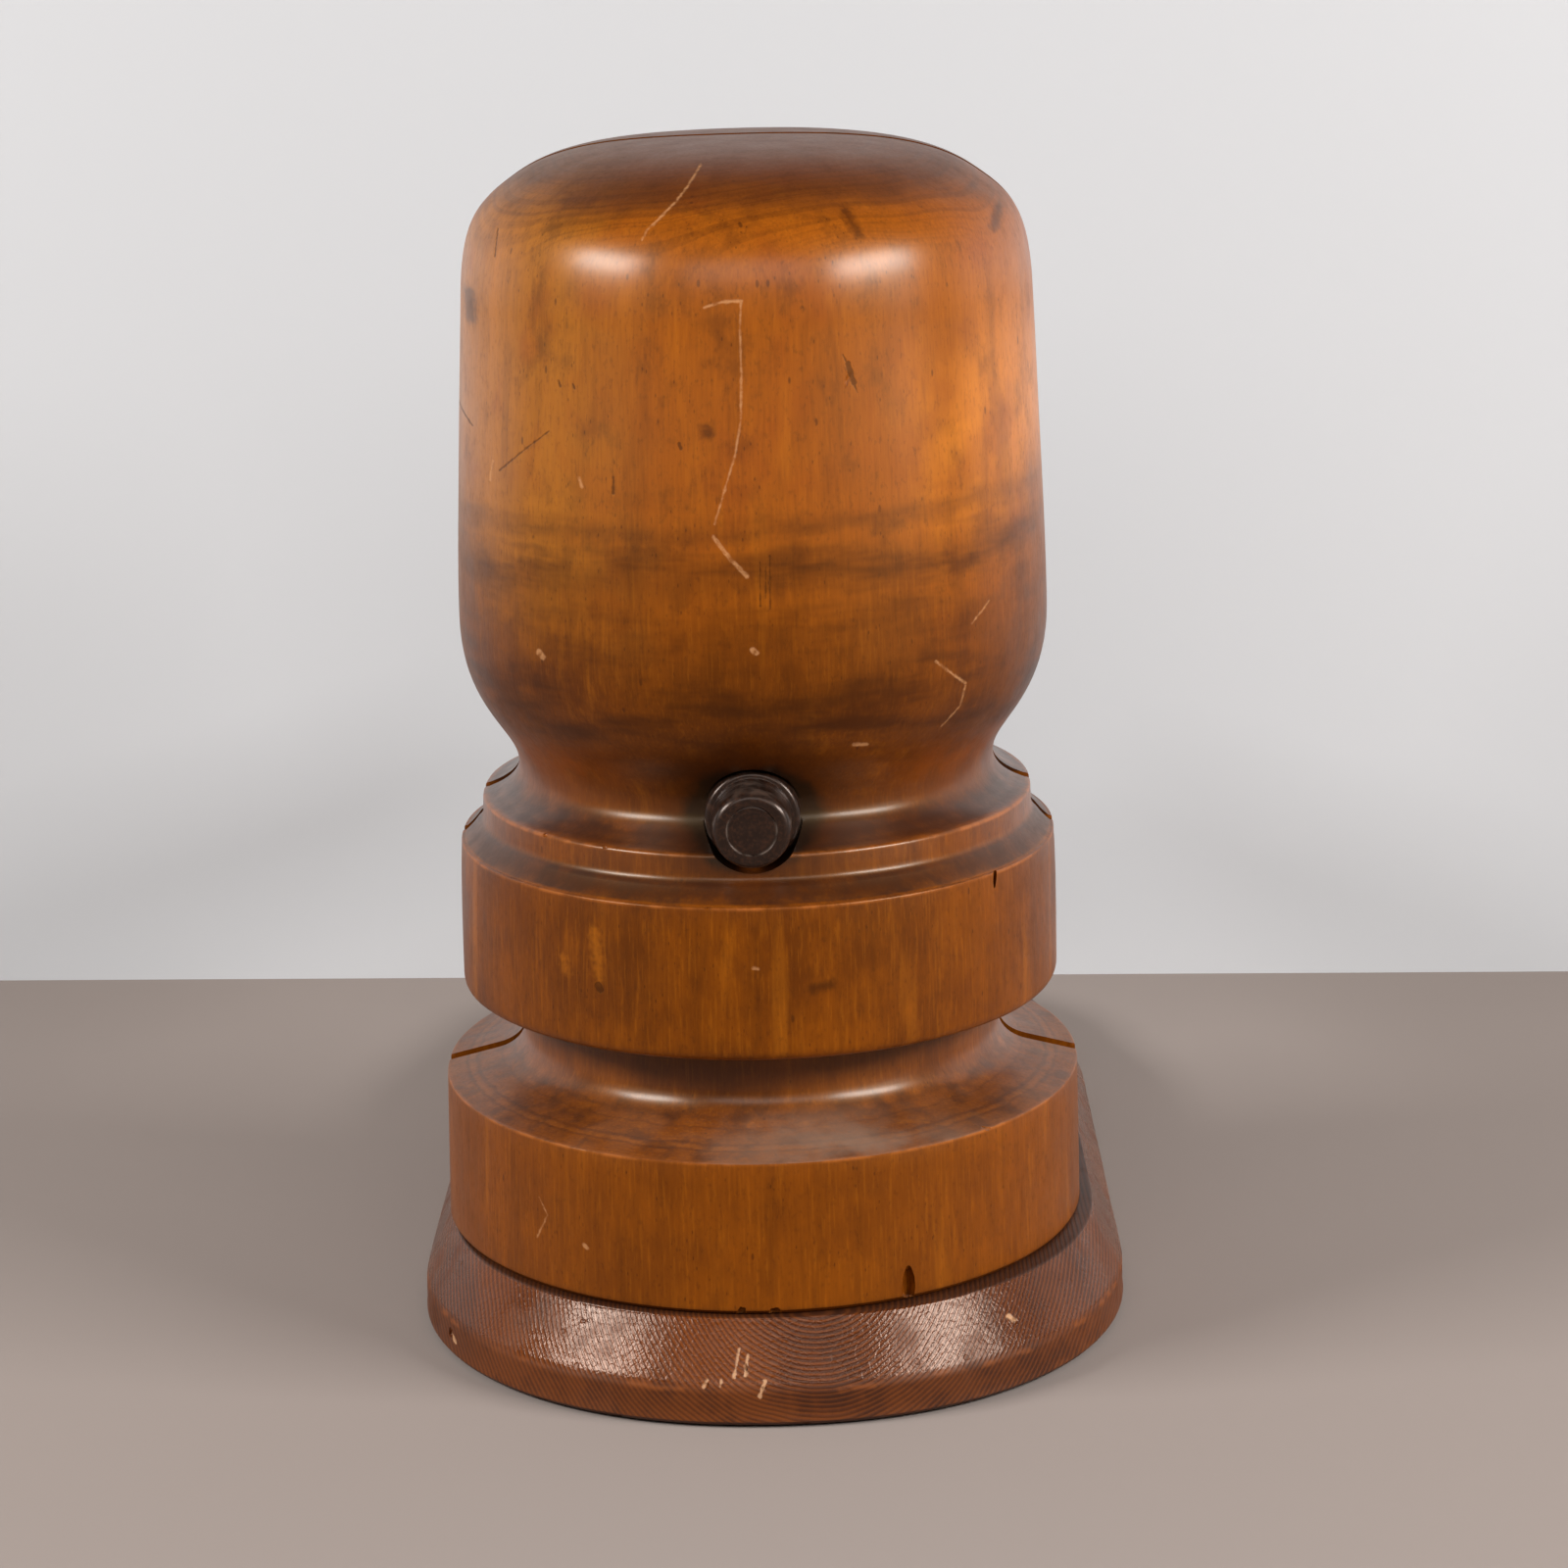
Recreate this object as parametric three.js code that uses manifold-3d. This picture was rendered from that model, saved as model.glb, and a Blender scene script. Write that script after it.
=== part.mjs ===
// Hat block that opens with a wooden screw, standing on a long bench board.
// The turned oval body is sawn in two: the front half is fixed, the rear half slides back on a runner.
// Millimetres. X points right, Y points back from the saw cut, Z points up.
// The origin is the foot of the saw cut, on the underside of the board.

import * as THREE from "three";
import { mergeVertices } from "three/addons/utils/BufferGeometryUtils.js";
import Module from "manifold-3d";

// Clearances
const CONTACT_GAP = 0.3; // between pieces that touch or are glued
const SLIDE_GAP = 0.4; // between pieces that slide or turn in each other
const CUT_OVERRUN = 5; // how far a cutting shape stands out of what it cuts

// Board
const BOARD_THICKNESS = 28;
const BOARD_SQUARE_EDGE = 11; // height of the upright edge under the bevel
const BOARD_FOOT_EASE = 1.6; // rounding of the lowest edge
const BOARD_SIDE_MARGIN = 9.8; // board beyond the flange at the sides
const BOARD_SET_OVER = 2.4; // the board lies this far to the right under the body
const BOARD_FRONT_MARGIN = 11.5; // board beyond the flange in front
const BOARD_FRONT_FULLNESS = 2.15; // 2 would be an ellipse, more is fuller at the corners
const BOARD_FRONT_CENTRE_Y = 0; // where the round front passes into the straight sides
const BOARD_TAPER_START_Y = 190;
const BOARD_TAIL_CENTRE_Y = 241;
const BOARD_TAIL_RADIUS = 94;
const BOARD_TAIL_BEVEL = 15;
const BOARD_TOP_REVEAL = 1; // flat rim that shows round the flange above the bevel
const BOARD_FRONT_STEPS = 20;
const BOARD_TAIL_STEPS = 10;

// Turned body: half widths across X, and an oval deeper than wide
const DEPTH_RATIO = 1.2;
const FLANGE_HALF_WIDTH = 92;
const GROOVE_HALF_WIDTH = 68.5;
const BAND_HALF_WIDTH = 85.8;
const LEDGE_HALF_WIDTH = 78.6; // the stepped moulding over the band
const WAIST_HALF_WIDTH = 68;
const CROWN_HALF_WIDTH = 83.65;
const CROWN_SHOULDER_HALF_WIDTH = 80.3;
const CROWN_CAP_HALF_WIDTH = 64;

// Turned body: heights of its sections, stacked from the board up
const FLANGE_HEIGHT = 42.1;
const GROOVE_HEIGHT = 25.6;
const BAND_HEIGHT = 42.8;
const LEDGE_HEIGHT = 12.8;
const WAIST_HEIGHT = 8.7;
const CROWN_SWELL_HEIGHT = 42.7; // waist to the widest line of the crown
const CROWN_SIDE_HEIGHT = 89;
const CROWN_SHOULDER_HEIGHT = 34.1;
const CROWN_CAP_HEIGHT = 9.9;
const HALF_TURN_STEPS = 20; // facets round each half of the body

// Turned body: its mouldings
const FLANGE_ARRIS = 0.9; // small flat on the flange's edges
const FLANGE_BATTER = 0.6; // the flange leans in by this much over its height
const GROOVE_COVE_REACH = 8.5; // how far the hollow over the flange reaches out from the groove
const GROOVE_COVE_RISE = 3.4; // slope of the flange's top, from its edge to the hollow
const GROOVE_COVE_HEIGHT = 13.6;
const GROOVE_FILLET = 4; // where the groove meets the underside of the band
const BAND_FOOT_ROUND = 3.5;
const BAND_DRAW_IN = 0.7; // the band is this much narrower at its top
const BAND_ARRIS = 1;
const LEDGE_FLARE = 1.4; // hollow slope between the band and the ledge
const LEDGE_ARRIS = 1.6;
const WAIST_COVE_REACH = 7.5;
const WAIST_COVE_RISE = 0.6;
const CROWN_CAP_SLOPE = 0.73; // rise per run where the shoulder passes into the cap

// Saw cut and travel of the rear half
const SAW_GAP = 6; // opening between the halves at rest
const OPEN_TRAVEL = 30;
const CLOSE_TRAVEL = 5.5;

// Wooden screw
const SCREW_BELOW_WAIST = 0.6;
const THREAD_PITCH = 8;
const THREAD_RADIUS = 16;
const THREAD_DEPTH = 2.8; // flanks at 45 degrees
const THREAD_RADIAL_GAP = 0.5;
const THREAD_SEGMENTS = 20;
const THREAD_CHAMFER = 3;
const JOURNAL_RADIUS = 10;
const COLLAR_LIP = 2; // the thrust collar stands this far out of the thread
const COLLAR_LENGTH = 10;
const COLLAR_CHAMFER = 1;
const COLLAR_SETBACK = 2; // collar's rear face below the saw cut
const THREAD_SETBACK = 4; // plain stretch between the collar and the thread
const SPOTFACE_MARGIN = 2; // flat seat round the tapped hole
const SPOTFACE_SETBACK = 6; // the seat's depth below the waist's surface
const SHANK_RELIEF = 0.6; // the plain shank is this much thinner than the thread's root
const HEAD_REACH = 36; // hand room between the rear half, fully open, and the head
const TAIL_TENON_RADIUS = 9;
const TAIL_TENON_LENGTH = 18;
const NOSE_TENON_RADIUS = 5.5;
const NOSE_TENON_LENGTH = 13;

// Front knob
const KNOB_LENGTH = 22.5;
const KNOB_NOSE_RADIUS = 10.2;
const KNOB_FLANGE_RADIUS = 12.6;
const KNOB_FLANGE_LENGTH = 6.5;
const KNOB_SCRIBE_RADIUS = 6.8; // turned circle on the face, round a shallow dish
const KNOB_DISH = 0.3;
const KNOB_NOSE_ROUND = 2.2;
const KNOB_COVE = 3; // hollow between the nose and the flange
const KNOB_FLANGE_ROUND = 1.6;
const KNOB_RECESS_ROOM = 1.6; // the recess in the waist is this much wider than the flange
const KNOB_SEAT_SETBACK = 1.2; // recess floor below the waist's surface

// Handle
const HEAD_LENGTH = 54;
const HEAD_RADIUS = 22;
const HEAD_NECK_RADIUS = 17;
const HEAD_CHAMFER = 1;
const HEAD_RING_LENGTH = 5; // plain ring at the shoulder
const HEAD_QUIRK = 1.5; // small turned groove after the ring
const HEAD_SWELL_LENGTH = 12;
const HEAD_SCRIBE = 1.2; // step before the rounded end
const HEAD_CAP_LENGTH = 10;
const BAR_RADIUS = 6;
const BAR_HALF_LENGTH = 62;
const BAR_TO_HEAD_END = 22;
const BAR_TENON_RADIUS = 3.6;
const BAR_TENON_LENGTH = 8;
const BAR_KNOB_RADIUS = 10.5;
const BAR_KNOB_LENGTH = 15;
const BAR_KNOB_LIP = 1; // foot of the knob beyond the bar
const BAR_KNOB_NECK = 7; // from the knob's foot to its fullest line
const HEAD_PIN_RADIUS = 2;
const HEAD_PIN_TO_SHOULDER = 9;
const HEAD_PIN_SINK = 0.5; // pin's ends below the head's neck

// Guide dowels of the crown
const DOWEL_RADIUS = 8;
const DOWEL_SPACING = 90;
const DOWEL_BELOW_TOP = 72; // from the top of the crown down to their axes
const DOWEL_SOCKET_DEPTH = 40;
const DOWEL_REACH = 62; // length that stands out of the front half
const DOWEL_END_ROOM = 2; // left before the dowel's end when the halves are shut
const DOWEL_END_EASE = 1.5;

// Slide runner
const RUNNER_HEIGHT = 12;
const RUNNER_FOOT_WIDTH = 20;
const RUNNER_TOP_WIDTH = 30;
const RUNNER_START_Y = 2;
const RUNNER_END_MARGIN = 3.6; // runner beyond the rear half when it is fully open
const RUNNER_SCREW_SPACING = 50;
const RUNNER_SCREW_COUNT = 3;

// Wood screws
const BLOCK_SCREW = { length: 52, shank: 2.6, head: 5.2 };
const RUNNER_SCREW = { length: 27, shank: 2.1, head: 4.2 };
const BLOCK_SCREW_PLACES = [
  [-52, -26],
  [52, -26],
  [-30, -76],
  [30, -76],
];
const SCREW_SLOT = 1.1; // width and depth
const SCREW_SINK = 0.3; // head below the surface it is driven into
const SCREW_TAPER = 2.5; // length of the point, in shank radii
const SCREW_SEGMENTS = 12;

const SHAFT_SEGMENTS = 20;
const DOWEL_SEGMENTS = 16;

// Levels and places that follow from the sizes above
const BODY_BASE_Z = BOARD_THICKNESS + CONTACT_GAP;
const FLANGE_TOP_Z = BODY_BASE_Z + FLANGE_HEIGHT;
const BAND_BOTTOM_Z = FLANGE_TOP_Z + GROOVE_HEIGHT;
const BAND_TOP_Z = BAND_BOTTOM_Z + BAND_HEIGHT;
const LEDGE_TOP_Z = BAND_TOP_Z + LEDGE_HEIGHT;
const WAIST_Z = LEDGE_TOP_Z + WAIST_HEIGHT;
const CROWN_WIDEST_Z = WAIST_Z + CROWN_SWELL_HEIGHT;
const CROWN_SHOULDER_Z = CROWN_WIDEST_Z + CROWN_SIDE_HEIGHT;
const CROWN_CAP_Z = CROWN_SHOULDER_Z + CROWN_SHOULDER_HEIGHT;
const CROWN_TOP_Z = CROWN_CAP_Z + CROWN_CAP_HEIGHT;
const BODY_HALF_DEPTH = DEPTH_RATIO * FLANGE_HALF_WIDTH;
const WAIST_HALF_DEPTH = DEPTH_RATIO * WAIST_HALF_WIDTH;
const SCREW_Z = WAIST_Z - SCREW_BELOW_WAIST;
const THREAD_ROOT_RADIUS = THREAD_RADIUS - THREAD_DEPTH;
const COLLAR_RADIUS = THREAD_RADIUS + COLLAR_LIP;
const KNOB_SEAT_Y = -(WAIST_HALF_DEPTH - KNOB_SEAT_SETBACK);
const COLLAR_REAR_Y = -COLLAR_SETBACK;
const COLLAR_FRONT_Y = COLLAR_REAR_Y - COLLAR_LENGTH;
const THREAD_START_Y = COLLAR_REAR_Y + THREAD_SETBACK;
const SPOTFACE_Y = SAW_GAP + WAIST_HALF_DEPTH - SPOTFACE_SETBACK;
const THREAD_END_Y = SPOTFACE_Y + OPEN_TRAVEL + THREAD_CHAMFER;
const REAR_OPEN_Y = SAW_GAP + DEPTH_RATIO * CROWN_HALF_WIDTH + OPEN_TRAVEL;
const HEAD_Y = REAR_OPEN_Y + HEAD_REACH;
const BAR_Y = HEAD_Y + HEAD_LENGTH - BAR_TO_HEAD_END;
const HEAD_PIN_Y = HEAD_Y + HEAD_PIN_TO_SHOULDER;
const RUNNER_TOP_Z = BODY_BASE_Z + RUNNER_HEIGHT;
const RUNNER_END_Y = SAW_GAP + BODY_HALF_DEPTH + OPEN_TRAVEL + RUNNER_END_MARGIN;
const DOWEL_Z = CROWN_TOP_Z - DOWEL_BELOW_TOP;

const wasm = await Module();
wasm.setup();

// Helpers: solids and geometry.

// A closed three.js geometry as a solid that can be cut and joined.
function solidOf(geometry) {
  const bare = geometry.clone();
  bare.deleteAttribute("normal");
  bare.deleteAttribute("uv");
  const merged = mergeVertices(bare, 1e-4);
  return new wasm.Manifold(
    new wasm.Mesh({
      numProp: 3,
      vertProperties: merged.attributes.position.array,
      triVerts: new Uint32Array(merged.index.array),
    }),
  );
}

// A solid as a geometry for a mesh.
function geometryOf(solid) {
  const mesh = solid.getMesh();
  const geometry = new THREE.BufferGeometry();
  geometry.setAttribute("position", new THREE.BufferAttribute(mesh.vertProperties, 3));
  geometry.setIndex(new THREE.BufferAttribute(mesh.triVerts, 1));
  geometry.computeVertexNormals();
  return geometry;
}

function point(x, y) {
  return new THREE.Vector2(x, y);
}

function bend(from, corner, to, steps) {
  return new THREE.QuadraticBezierCurve(from, corner, to).getPoints(steps);
}

function sweep(from, fromHandle, toHandle, to, steps) {
  return new THREE.CubicBezierCurve(from, fromHandle, toHandle, to).getPoints(steps);
}

// One profile from points and runs of points, without doubled neighbours.
function profileOf(...pieces) {
  const points = pieces.flat();
  return points.filter((p, i) => i === 0 || p.distanceTo(points[i - 1]) > 0.01);
}

// A solid turned about the Y axis from (radius, y) points that run towards +Y.
function turned(points, segments = SHAFT_SEGMENTS) {
  return solidOf(new THREE.LatheGeometry(points, segments));
}

// A round bar along Y.
function rodAlongY(radius, fromY, toY, segments = SHAFT_SEGMENTS) {
  return turned([point(0, fromY), point(radius, fromY), point(radius, toY), point(0, toY)], segments);
}

// A flat outline in X and Z, drawn out along Y.
function alongY(outline, fromY, toY) {
  const shape = new THREE.Shape(outline);
  const geometry = new THREE.ExtrudeGeometry(shape, { depth: toY - fromY, bevelEnabled: false });
  return solidOf(geometry.rotateX(Math.PI / 2).translate(0, toY, 0));
}

function block(minimum, maximum) {
  const size = new THREE.Vector3().subVectors(maximum, minimum);
  const centre = new THREE.Vector3().addVectors(minimum, maximum).multiplyScalar(0.5);
  const geometry = new THREE.BoxGeometry(size.x, size.y, size.z);
  return solidOf(geometry.translate(centre.x, centre.y, centre.z));
}

// A closed solid through level outlines that have the same number of points, lowest first.
function loft(rings) {
  const count = rings[0].outline.length;
  const positions = rings.flatMap(({ outline, z }) => outline.flatMap((p) => [p.x, p.y, z]));
  const faces = [];
  for (let level = 0; level < rings.length - 1; level += 1) {
    for (let i = 0; i < count; i += 1) {
      const a = level * count + i;
      const b = level * count + ((i + 1) % count);
      faces.push(a, b, b + count, a, b + count, a + count);
    }
  }
  const top = (rings.length - 1) * count;
  for (const [a, b, c] of THREE.ShapeUtils.triangulateShape(rings[0].outline, [])) {
    faces.push(c, b, a);
  }
  for (const [a, b, c] of THREE.ShapeUtils.triangulateShape(rings.at(-1).outline, [])) {
    faces.push(top + a, top + b, top + c);
  }
  const geometry = new THREE.BufferGeometry();
  geometry.setAttribute("position", new THREE.Float32BufferAttribute(positions, 3));
  geometry.setIndex(faces);
  return solidOf(geometry);
}

// Materials: colours, roughness and metalness as the object shows them

const maple = { color: 0x9a5216, roughness: 0.38, metalness: 0 };
const pine = { color: 0x6e3218, roughness: 0.42, metalness: 0 };
const darkWood = { color: 0x2a1d17, roughness: 0.35, metalness: 0 };
const paleHardwood = { color: 0xb08a5a, roughness: 0.6, metalness: 0 };
const steel = { color: 0x5f5c58, roughness: 0.45, metalness: 0.9 };

function meshOf(name, solid, look) {
  const mesh = new THREE.Mesh(geometryOf(solid), new THREE.MeshStandardMaterial(look));
  mesh.name = name;
  return mesh;
}

// Board

// Half an oval, from its left end round the front to its right end.
function frontOval(half, depth, centreY, fullness, steps) {
  const pull = (value) => Math.sign(value) * Math.abs(value) ** (2 / fullness);
  return Array.from({ length: steps + 1 }, (_, i) => {
    const angle = Math.PI * (1 + i / steps);
    return point(half * pull(Math.cos(angle)), centreY + depth * pull(Math.sin(angle)));
  });
}

// The board's plan: a round front, straight sides, a taper and a round tail.
// inset draws it in at the sides, the front and the tail.
function boardOutline(inset) {
  const half = FLANGE_HALF_WIDTH + BOARD_SIDE_MARGIN - inset.side;
  const front = BODY_HALF_DEPTH + BOARD_FRONT_MARGIN - inset.front + BOARD_FRONT_CENTRE_Y;
  const radius = BOARD_TAIL_RADIUS - inset.tail;
  const drop = BOARD_TAIL_CENTRE_Y - BOARD_TAPER_START_Y;
  const reach = Math.hypot(half, drop);
  const tangent = Math.acos(radius / reach) - Math.atan2(drop, half);
  const tail = new THREE.EllipseCurve(0, BOARD_TAIL_CENTRE_Y, radius, radius, tangent, Math.PI - tangent);
  return [
    ...frontOval(half, front, BOARD_FRONT_CENTRE_Y, BOARD_FRONT_FULLNESS, BOARD_FRONT_STEPS),
    point(half, BOARD_TAPER_START_Y),
    ...tail.getPoints(BOARD_TAIL_STEPS),
    point(-half, BOARD_TAPER_START_Y),
  ];
}

function makeBoard() {
  const flush = { side: 0, front: 0, tail: 0 };
  const eased = { side: BOARD_FOOT_EASE, front: BOARD_FOOT_EASE, tail: BOARD_FOOT_EASE };
  const top = {
    side: BOARD_SIDE_MARGIN - BOARD_TOP_REVEAL,
    front: BOARD_FRONT_MARGIN - BOARD_TOP_REVEAL,
    tail: BOARD_TAIL_BEVEL,
  };
  let board = loft([
    { outline: boardOutline(eased), z: 0 },
    { outline: boardOutline(flush), z: BOARD_FOOT_EASE },
    { outline: boardOutline(flush), z: BOARD_SQUARE_EDGE },
    { outline: boardOutline(top), z: BOARD_THICKNESS },
  ]).translate([BOARD_SET_OVER, 0, 0]);
  for (const [x, y] of BLOCK_SCREW_PLACES) {
    board = board.subtract(screwHole(BLOCK_SCREW).translate([x, y, 0]));
  }
  for (const y of runnerScrewPlaces()) {
    board = board.subtract(screwHole(RUNNER_SCREW).rotate([180, 0, 0]).translate([0, y, RUNNER_TOP_Z]));
  }
  return board;
}

// Wood screws, head at z = 0 and point upwards

// A screw's outline, wider all round by gap, with the head's end at headZ.
function screwOutline({ length, shank, head }, gap, headZ) {
  return profileOf(
    point(0, headZ),
    point(head + gap, headZ),
    point(head + gap, SCREW_SINK),
    point(shank + gap, SCREW_SINK + head - shank),
    point(shank + gap, length - SCREW_TAPER * shank + gap),
    point(0, length + gap),
  );
}

function screwHole(size) {
  return turned(screwOutline(size, CONTACT_GAP, -CUT_OVERRUN), SCREW_SEGMENTS).rotate([90, 0, 0]);
}

function makeWoodScrew(size) {
  const slot = block(
    new THREE.Vector3(-size.head, -SCREW_SLOT / 2, -CUT_OVERRUN),
    new THREE.Vector3(size.head, SCREW_SLOT / 2, SCREW_SINK + SCREW_SLOT),
  );
  return turned(screwOutline(size, 0, SCREW_SINK), SCREW_SEGMENTS).rotate([90, 0, 0]).subtract(slot);
}

function runnerScrewPlaces() {
  const middle = (RUNNER_START_Y + RUNNER_END_Y) / 2;
  const first = middle - (RUNNER_SCREW_SPACING * (RUNNER_SCREW_COUNT - 1)) / 2;
  return Array.from({ length: RUNNER_SCREW_COUNT }, (_, i) => first + i * RUNNER_SCREW_SPACING);
}

// Slide runner: a dovetail that stops the rear half from lifting or turning

function runnerOutline(gap) {
  const foot = RUNNER_FOOT_WIDTH / 2 + gap;
  const top = RUNNER_TOP_WIDTH / 2 + gap;
  return [
    point(-foot, BODY_BASE_Z),
    point(foot, BODY_BASE_Z),
    point(top, RUNNER_TOP_Z + gap),
    point(-top, RUNNER_TOP_Z + gap),
  ];
}

// The dovetail's cutting shape, which also opens the slot downwards.
function runnerGroove(fromY, toY) {
  const foot = RUNNER_FOOT_WIDTH / 2 + SLIDE_GAP;
  const mouth = block(
    new THREE.Vector3(-foot, fromY, BODY_BASE_Z - CUT_OVERRUN),
    new THREE.Vector3(foot, toY, BODY_BASE_Z + RUNNER_HEIGHT / 2),
  );
  return alongY(runnerOutline(SLIDE_GAP), fromY, toY).add(mouth);
}

function makeRunner() {
  let runner = alongY(runnerOutline(0), RUNNER_START_Y, RUNNER_END_Y);
  for (const y of runnerScrewPlaces()) {
    runner = runner.subtract(screwHole(RUNNER_SCREW).rotate([180, 0, 0]).translate([0, y, RUNNER_TOP_Z]));
  }
  return runner;
}

// Turned body, before it is sawn: its profile from the foot to the top of the crown

// A hollow that carries on the line from before to from, and ends upright at to.
function cove(before, from, to, steps) {
  const slope = (from.y - before.y) / (from.x - before.x);
  return bend(from, point(to.x, from.y + slope * (to.x - from.x)), to, steps);
}

function flangeProfile() {
  const side = FLANGE_HALF_WIDTH - FLANGE_BATTER;
  const edge = point(side - FLANGE_ARRIS, FLANGE_TOP_Z);
  const coveFoot = point(GROOVE_HALF_WIDTH + GROOVE_COVE_REACH, FLANGE_TOP_Z + GROOVE_COVE_RISE);
  const coveHead = point(GROOVE_HALF_WIDTH, FLANGE_TOP_Z + GROOVE_COVE_HEIGHT);
  return [
    point(0, BODY_BASE_Z),
    point(FLANGE_HALF_WIDTH - FLANGE_ARRIS, BODY_BASE_Z),
    point(FLANGE_HALF_WIDTH, BODY_BASE_Z + FLANGE_ARRIS),
    point(side, FLANGE_TOP_Z - FLANGE_ARRIS),
    edge,
    ...cove(edge, coveFoot, coveHead, 4),
  ];
}

function bandProfile() {
  const foot = point(BAND_HALF_WIDTH, BAND_BOTTOM_Z + BAND_FOOT_ROUND);
  const head = point(BAND_HALF_WIDTH - BAND_DRAW_IN, BAND_TOP_Z - BAND_ARRIS);
  return [
    ...bend(
      point(GROOVE_HALF_WIDTH, BAND_BOTTOM_Z - GROOVE_FILLET),
      point(GROOVE_HALF_WIDTH, BAND_BOTTOM_Z),
      point(GROOVE_HALF_WIDTH + GROOVE_FILLET, BAND_BOTTOM_Z),
      2,
    ),
    ...bend(
      point(BAND_HALF_WIDTH - BAND_FOOT_ROUND, BAND_BOTTOM_Z),
      point(BAND_HALF_WIDTH, BAND_BOTTOM_Z),
      foot,
      3,
    ),
    ...bend(foot, point(BAND_HALF_WIDTH, BAND_TOP_Z - BAND_HEIGHT / 3), head, 2),
    point(head.x - BAND_ARRIS, BAND_TOP_Z),
  ];
}

// The stepped ledge over the band, and the hollow that runs from it into the waist.
function ledgeProfile() {
  const foot = point(BAND_HALF_WIDTH - BAND_DRAW_IN - BAND_ARRIS, BAND_TOP_Z);
  const edge = point(LEDGE_HALF_WIDTH - LEDGE_ARRIS, LEDGE_TOP_Z);
  const coveFoot = point(WAIST_HALF_WIDTH + WAIST_COVE_REACH, LEDGE_TOP_Z + WAIST_COVE_RISE);
  return [
    ...bend(
      foot,
      point(LEDGE_HALF_WIDTH + LEDGE_FLARE, BAND_TOP_Z + LEDGE_HEIGHT / 3),
      point(LEDGE_HALF_WIDTH, LEDGE_TOP_Z - LEDGE_ARRIS),
      3,
    ),
    edge,
    ...cove(edge, coveFoot, point(WAIST_HALF_WIDTH, WAIST_Z), 4),
  ];
}

function crownProfile() {
  const waist = point(WAIST_HALF_WIDTH, WAIST_Z);
  const widest = point(CROWN_HALF_WIDTH, CROWN_WIDEST_Z);
  const shoulder = point(CROWN_SHOULDER_HALF_WIDTH, CROWN_SHOULDER_Z);
  const cap = point(CROWN_CAP_HALF_WIDTH, CROWN_CAP_Z);
  const top = point(0, CROWN_TOP_Z);
  const capTangent = (run) => point(cap.x + run, cap.y - CROWN_CAP_SLOPE * run);
  const upFrom = (from, rise, lean) => point(from.x - lean, from.y + rise);
  const sideLean = 0.9; // the side leans in slightly as it reaches the shoulder
  const sidePull = 0.22 * CROWN_SIDE_HEIGHT;
  return [
    ...sweep(
      waist,
      upFrom(waist, 0.27 * CROWN_SWELL_HEIGHT, 0),
      upFrom(widest, -0.62 * CROWN_SWELL_HEIGHT, 0),
      widest,
      8,
    ),
    ...sweep(widest, upFrom(widest, sidePull, 0), upFrom(shoulder, -sidePull, -sideLean), shoulder, 4),
    ...sweep(
      shoulder,
      upFrom(shoulder, 0.62 * CROWN_SHOULDER_HEIGHT, sideLean),
      capTangent(0.6 * (shoulder.x - cap.x)),
      cap,
      7,
    ),
    ...sweep(cap, capTangent(-0.14 * cap.x), point(0.52 * cap.x, top.y), top, 6),
  ];
}

function bodyProfile() {
  return profileOf(flangeProfile(), bandProfile(), ledgeProfile(), crownProfile());
}

// The oval body on its saw cut: side is -1 for the front half and 1 for the rear half.
function turnedHalf(side) {
  const reach = BODY_HALF_DEPTH + CUT_OVERRUN;
  const round = new THREE.LatheGeometry(bodyProfile(), 2 * HALF_TURN_STEPS, Math.PI / 2);
  const oval = round.rotateX(Math.PI / 2).scale(1, DEPTH_RATIO, 1);
  const keep = block(
    new THREE.Vector3(-reach, Math.min(0, side * reach), BODY_BASE_Z - CUT_OVERRUN),
    new THREE.Vector3(reach, Math.max(0, side * reach), CROWN_TOP_Z + CUT_OVERRUN),
  );
  return solidOf(oval).intersect(keep);
}

function dowelPlaces() {
  return [-DOWEL_SPACING / 2, DOWEL_SPACING / 2];
}

function makeFrontBlock() {
  let half = turnedHalf(-1);
  const bores = [
    rodAlongY(KNOB_FLANGE_RADIUS + KNOB_RECESS_ROOM, -BODY_HALF_DEPTH, KNOB_SEAT_Y),
    rodAlongY(JOURNAL_RADIUS + SLIDE_GAP, KNOB_SEAT_Y - CUT_OVERRUN, CUT_OVERRUN),
    rodAlongY(COLLAR_RADIUS + SLIDE_GAP, COLLAR_FRONT_Y - CONTACT_GAP, CUT_OVERRUN),
  ];
  for (const bore of bores) {
    half = half.subtract(bore.translate([0, 0, SCREW_Z]));
  }
  const socketFloor = -DOWEL_SOCKET_DEPTH - CONTACT_GAP;
  for (const x of dowelPlaces()) {
    const socket = rodAlongY(DOWEL_RADIUS + CONTACT_GAP, socketFloor, CUT_OVERRUN, DOWEL_SEGMENTS);
    half = half.subtract(socket.translate([x, 0, DOWEL_Z]));
  }
  for (const [x, y] of BLOCK_SCREW_PLACES) {
    half = half.subtract(screwHole(BLOCK_SCREW).translate([x, y, 0]));
  }
  return half;
}

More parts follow.
